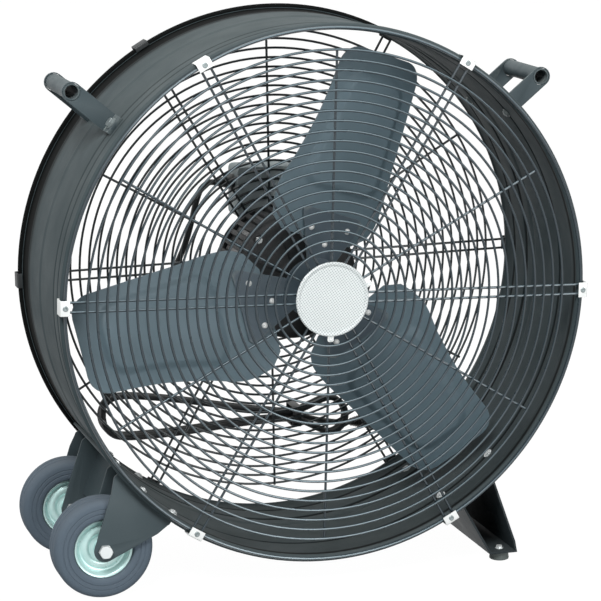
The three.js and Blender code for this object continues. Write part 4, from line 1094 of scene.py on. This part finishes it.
def knob():
    base = lathe([(0, -12), (3.5, -12), (3.5, 0), (KNOB_R - 0.4, 0), (KNOB_R, 0.6), (KNOB_R, 3.6),
                  (KNOB_R - 1, 4.6), (KNOB_R - 5, 6), (0, 6)], 72)
    bar = [(-4, 3 - KNOB_R), (4, 3 - KNOB_R), (4, KNOB_R - 4), (0, KNOB_R - 1), (-4, KNOB_R - 4)]
    bar = plate(rounded(bar, 2.2, 5, True), 1, KNOB_HEIGHT, 1)
    flutes = around(rod((KNOB_R - 0.6, 0.8, 0), (KNOB_R - 0.6, 3.6, 0), 0.6, 8), 36)
    pointer = plate(rectangle(-0.7, 4, 0.7, KNOB_R - 3, 0.5), KNOB_HEIGHT - 0.6, KNOB_HEIGHT, 0.1)
    spot = (KNOB_X, KNOB_BACK, KNOB_Z)
    piece("speed_knob_moulding", moved(merged(base, bar, *flutes), *spot), black_plastic, "speed_knob",
          "knob")
    piece("knob_pointer", moved(pointer, *spot), silver, body="knob")


def gland():
    """Cord gland: a round collar, then a ribbed sleeve that tapers towards the cord."""
    shape = lathe([(0, 0), (10.4, 0), (10.4, 5.2), (9.6, 6), (8.5, 6.6),
                   *ribs(4, 8.2, 3.3, 8.2, -0.75, 0.8, 2.9), (5.3, GLAND_LENGTH), (0, GLAND_LENGTH)], 48)
    shape = mapped(shape, lambda x, y, z: (-BOX_WIDTH / 2 - GAP - y, GLAND_Y + x, GLAND_Z + z))
    piece("cord_gland_sleeve", shape, black_plastic, "cord_gland")


switch_box()
knob()
gland()


# ---- handles
def inner_bolt(angle, y):
    """A bolt end and nut on the inside of the drum wall."""
    r = WALL_R - SHEET
    nut = facing(hex_head(*INNER_NUT), (-1, 0, 0), (r, y, 0))
    return pointed_at(merged(nut, rod((r, y, 0), (r - 4, y, 0), 2.4, 20)), angle)


def handles():
    half = (HANDLE_SPAN + LEG_SHEET) / 2
    tube = lathe([(GRIP_BORE_R, -half), (GRIP_R - 0.4, -half), (GRIP_R, 0.4 - half), (GRIP_R, half - 0.4),
                  (GRIP_R - 0.4, half), (GRIP_BORE_R, half)], 56, ring=True)
    top = WALL_R + REAR_FLARE + GAP + LEG_SHEET
    bolts = []
    for word, angle in (("right", HANDLE_ANGLE), ("left", 180 - HANDLE_ANGLE)):
        grip = pointed_at(moved(tube, GRIP_RADIUS_AT, 0, 0), angle)
        piece(f"{word}_handle_tube", grip, drum_paint, f"{word}_handle_grip")
        for end, side in ENDS:
            y = side * (HANDLE_SPAN / 2 + LEG_FLANGE * 0.56)
            outside = facing(hex_head(*HANDLE_BOLT), (1, 0, 0), (top, y, 0))
            bolts += [pointed_at(outside, angle), inner_bolt(angle, y)]
    piece("handle_bolts", merged(*bolts), dull_steel)


handles()


# ---- wheels
def mirrored_lathe(profile, steps=96):
    """A ring from one half of its profile, the other half being its mirror in y."""
    return lathe([*profile, *[(r, -y) for r, y in reversed(profile)]], steps, ring=True)


def wheels():
    half = TYRE_WIDTH / 2
    groove = WHEEL_R - 0.9
    profile = [*[(RIM_R + r, y - half) for r, y in TYRE_SIDE],
               *arc((WHEEL_R - 8, 8.2 - half), 8, -90, 0, 8)[1:],
               (WHEEL_R, -6), (groove, -5.4), (groove, -4.2), (WHEEL_R, -3.6)]
    tyre = mirrored_lathe(profile, 128)
    rim = mirrored_lathe([(RIM_BORE_R, -half), (10.6, -half), (11, 0.5 - half), *RIM_SIDE])
    bolt_face = HALF_FORK + FORK_SHEET + GAP
    thread = []
    for turn in range(9):
        y = bolt_face + 1 + turn * 1.2
        thread += [(AXLE_R, y), (AXLE_R - 0.5, y + 0.6)]
    shank = lathe([(0, -bolt_face), (AXLE_R, -bolt_face), *thread, (AXLE_R - 0.6, bolt_face + 12),
                   (0, bolt_face + 12)], 40)
    bolt = merged(shank, moved(hex_head(*AXLE_HEAD), 0, -bolt_face, 0))
    nut = mapped(hex_head(*AXLE_NUT), lambda x, y, z: (x, bolt_face - y, z))
    for end, side in ENDS:
        spot = (AXLE_X, side * WHEEL_Y, AXLE_Z)
        body = f"{end}_wheel"
        piece(f"{end}_tyre_moulding", moved(tyre, *spot), tyre_rubber, f"{end}_tyre", body)
        piece(f"{end}_rim_pressing", moved(rim, *spot), zinc, f"{end}_wheel_rim", body)
        piece(f"{end}_axle_bolt_shown", moved(bolt, *spot), bright_steel, f"{end}_axle_bolt")
        piece(f"{end}_axle_nut_shown", moved(nut, *spot), bright_steel, f"{end}_axle_nut")


wheels()


# ---- feet and bracket bolts
def feet():
    base = -AXIS_HEIGHT
    pad = lathe([(0, 0.8), (5, 0.8), (5.6, 0), (FOOT_R - 2, 0), (FOOT_R - 0.6, 0.7), (FOOT_R - 0.2, 2),
                 (FOOT_R - 1.2, FOOT_HEIGHT - 1.6), (FOOT_R - 1, FOOT_HEIGHT), (0, FOOT_HEIGHT)], 64)
    heads = []
    for end, side in ENDS:
        foot = mapped(pad, lambda x, y, z: (x + FOOT_X, side * FOOT_Y - z, y + base))
        piece(f"{end}_foot_pad", foot, foot_rubber, f"{end}_rubber_foot")
        spot = (FOOT_X, side * FOOT_Y, base + FOOT_HEIGHT + GAP + 2.5)
        heads.append(facing(hex_head(*FOOT_BOLT), (0, 0, 1), spot))
    ends = [inner_bolt(angle, y) for bearings, places in (FOOT_BRACKET_BOLTS, FORK_BRACKET_BOLTS)
            for angle in bearings for y in places]
    piece("foot_bolts", merged(*heads), bright_steel)
    piece("bracket_bolt_ends", merged(*ends), bright_steel)


feet()


# ---- CAD nodes that stay
def dress(node, material, edge):
    """A CAD node that stays: its material, and edges eased as folded or moulded edges are."""
    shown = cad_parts[node]
    shown.data.materials.clear()
    shown.data.materials.append(material)
    weld = shown.modifiers.new("weld", "WELD")
    weld.merge_threshold = 1e-5
    ease = shown.modifiers.new("eased_edges", "BEVEL")
    ease.width = edge * MM
    ease.segments = 2
    ease.limit_method = "ANGLE"
    ease.angle_limit = radians(CREASE)
    for face in shown.data.polygons:
        face.use_smooth = True
    shown.data.set_sharp_from_angle(angle=radians(CREASE))


# The foot bracket takes the near-black copy of the drum paint, painted shade.
for node, material, edge in (
        ("cord_tie", black_plastic, 0.35), ("rotary_switch", black_plastic, 0.35),
        ("capacitor", black_plastic, 0.35), ("rotor_core", laminations, 0.2), ("stator", laminations, 0.2),
        ("wheel_bracket", drum_paint, 0.5), ("foot_bracket", foot_bracket_painted_shade, 0.5)):
    dress(node, material, edge)
for end, _ in ENDS:
    dress(f"{end}_bearing", bright_steel, 0.2)
    dress(f"{end}_axle_sleeve", bright_steel, 0.2)
    dress(f"right_handle_{end}_leg", drum_paint, 0.5)
    dress(f"left_handle_{end}_leg", drum_paint, 0.5)


# ---- floor and light
def shows_backdrop(tree):
    """1 for camera, glossy and transmission rays, and 0 for the light that falls on the fan."""
    path = put(tree, "LightPath")
    seen = larger(tree, path.outputs["Is Camera Ray"], path.outputs["Is Glossy Ray"])
    return larger(tree, seen, path.outputs["Is Transmission Ray"])


def floor():
    data = bpy.data.meshes.new("floor")
    corners = [(x * FLOOR_HALF, y * FLOOR_HALF, 0) for x, y in ((-1, -1), (1, -1), (1, 1), (-1, 1))]
    data.from_pydata(corners, [], [[0, 1, 2, 3]])
    add_object("floor", data)
    material = bpy.data.materials.new("pale_floor")
    material.use_nodes = True
    tree = material.node_tree
    shader = tree.nodes["Principled BSDF"]
    wire(linear("a8abab"), shader.inputs["Base Color"])
    wire(0.9, shader.inputs["Roughness"])
    glow = put(tree, "Emission", Color=(1.0, 1.0, 1.0, 1.0), Strength=FLOOR_GLOW)
    both = put(tree, "MixShader")
    share = times(tree, shows_backdrop(tree), FLOOR_GLOW_SHARE)
    for source, target in zip((share, shader.outputs[0], glow.outputs[0]), both.inputs):
        wire(source, target)
    wire(both.outputs[0], tree.nodes["Material Output"].inputs["Surface"])
    data.materials.append(material)


def world_and_lights():
    world = bpy.data.worlds.new("studio")
    scene.world = world
    world.use_nodes = True
    tree = world.node_tree
    backdrop = tree.nodes["Background"].inputs
    wire((1.0, 1.0, 1.0, 1.0), backdrop["Color"])
    wire(spread(tree, shows_backdrop(tree), 0.0, 1.0, WORLD_ON_FAN, 1.0), backdrop["Strength"])
    for name, spot, watts, width in LIGHTS:
        lamp = bpy.data.lights.new(name, "AREA")
        lamp.energy = watts
        lamp.size = width
        light = add_object(name, lamp)
        light.location = spot
        light.rotation_euler = (Vector(LIGHTS_AIM) - Vector(spot)).to_track_quat("-Z", "Y").to_euler()


floor()
world_and_lights()
scene.view_settings.view_transform = "Standard"

bpy.context.view_layer.update()
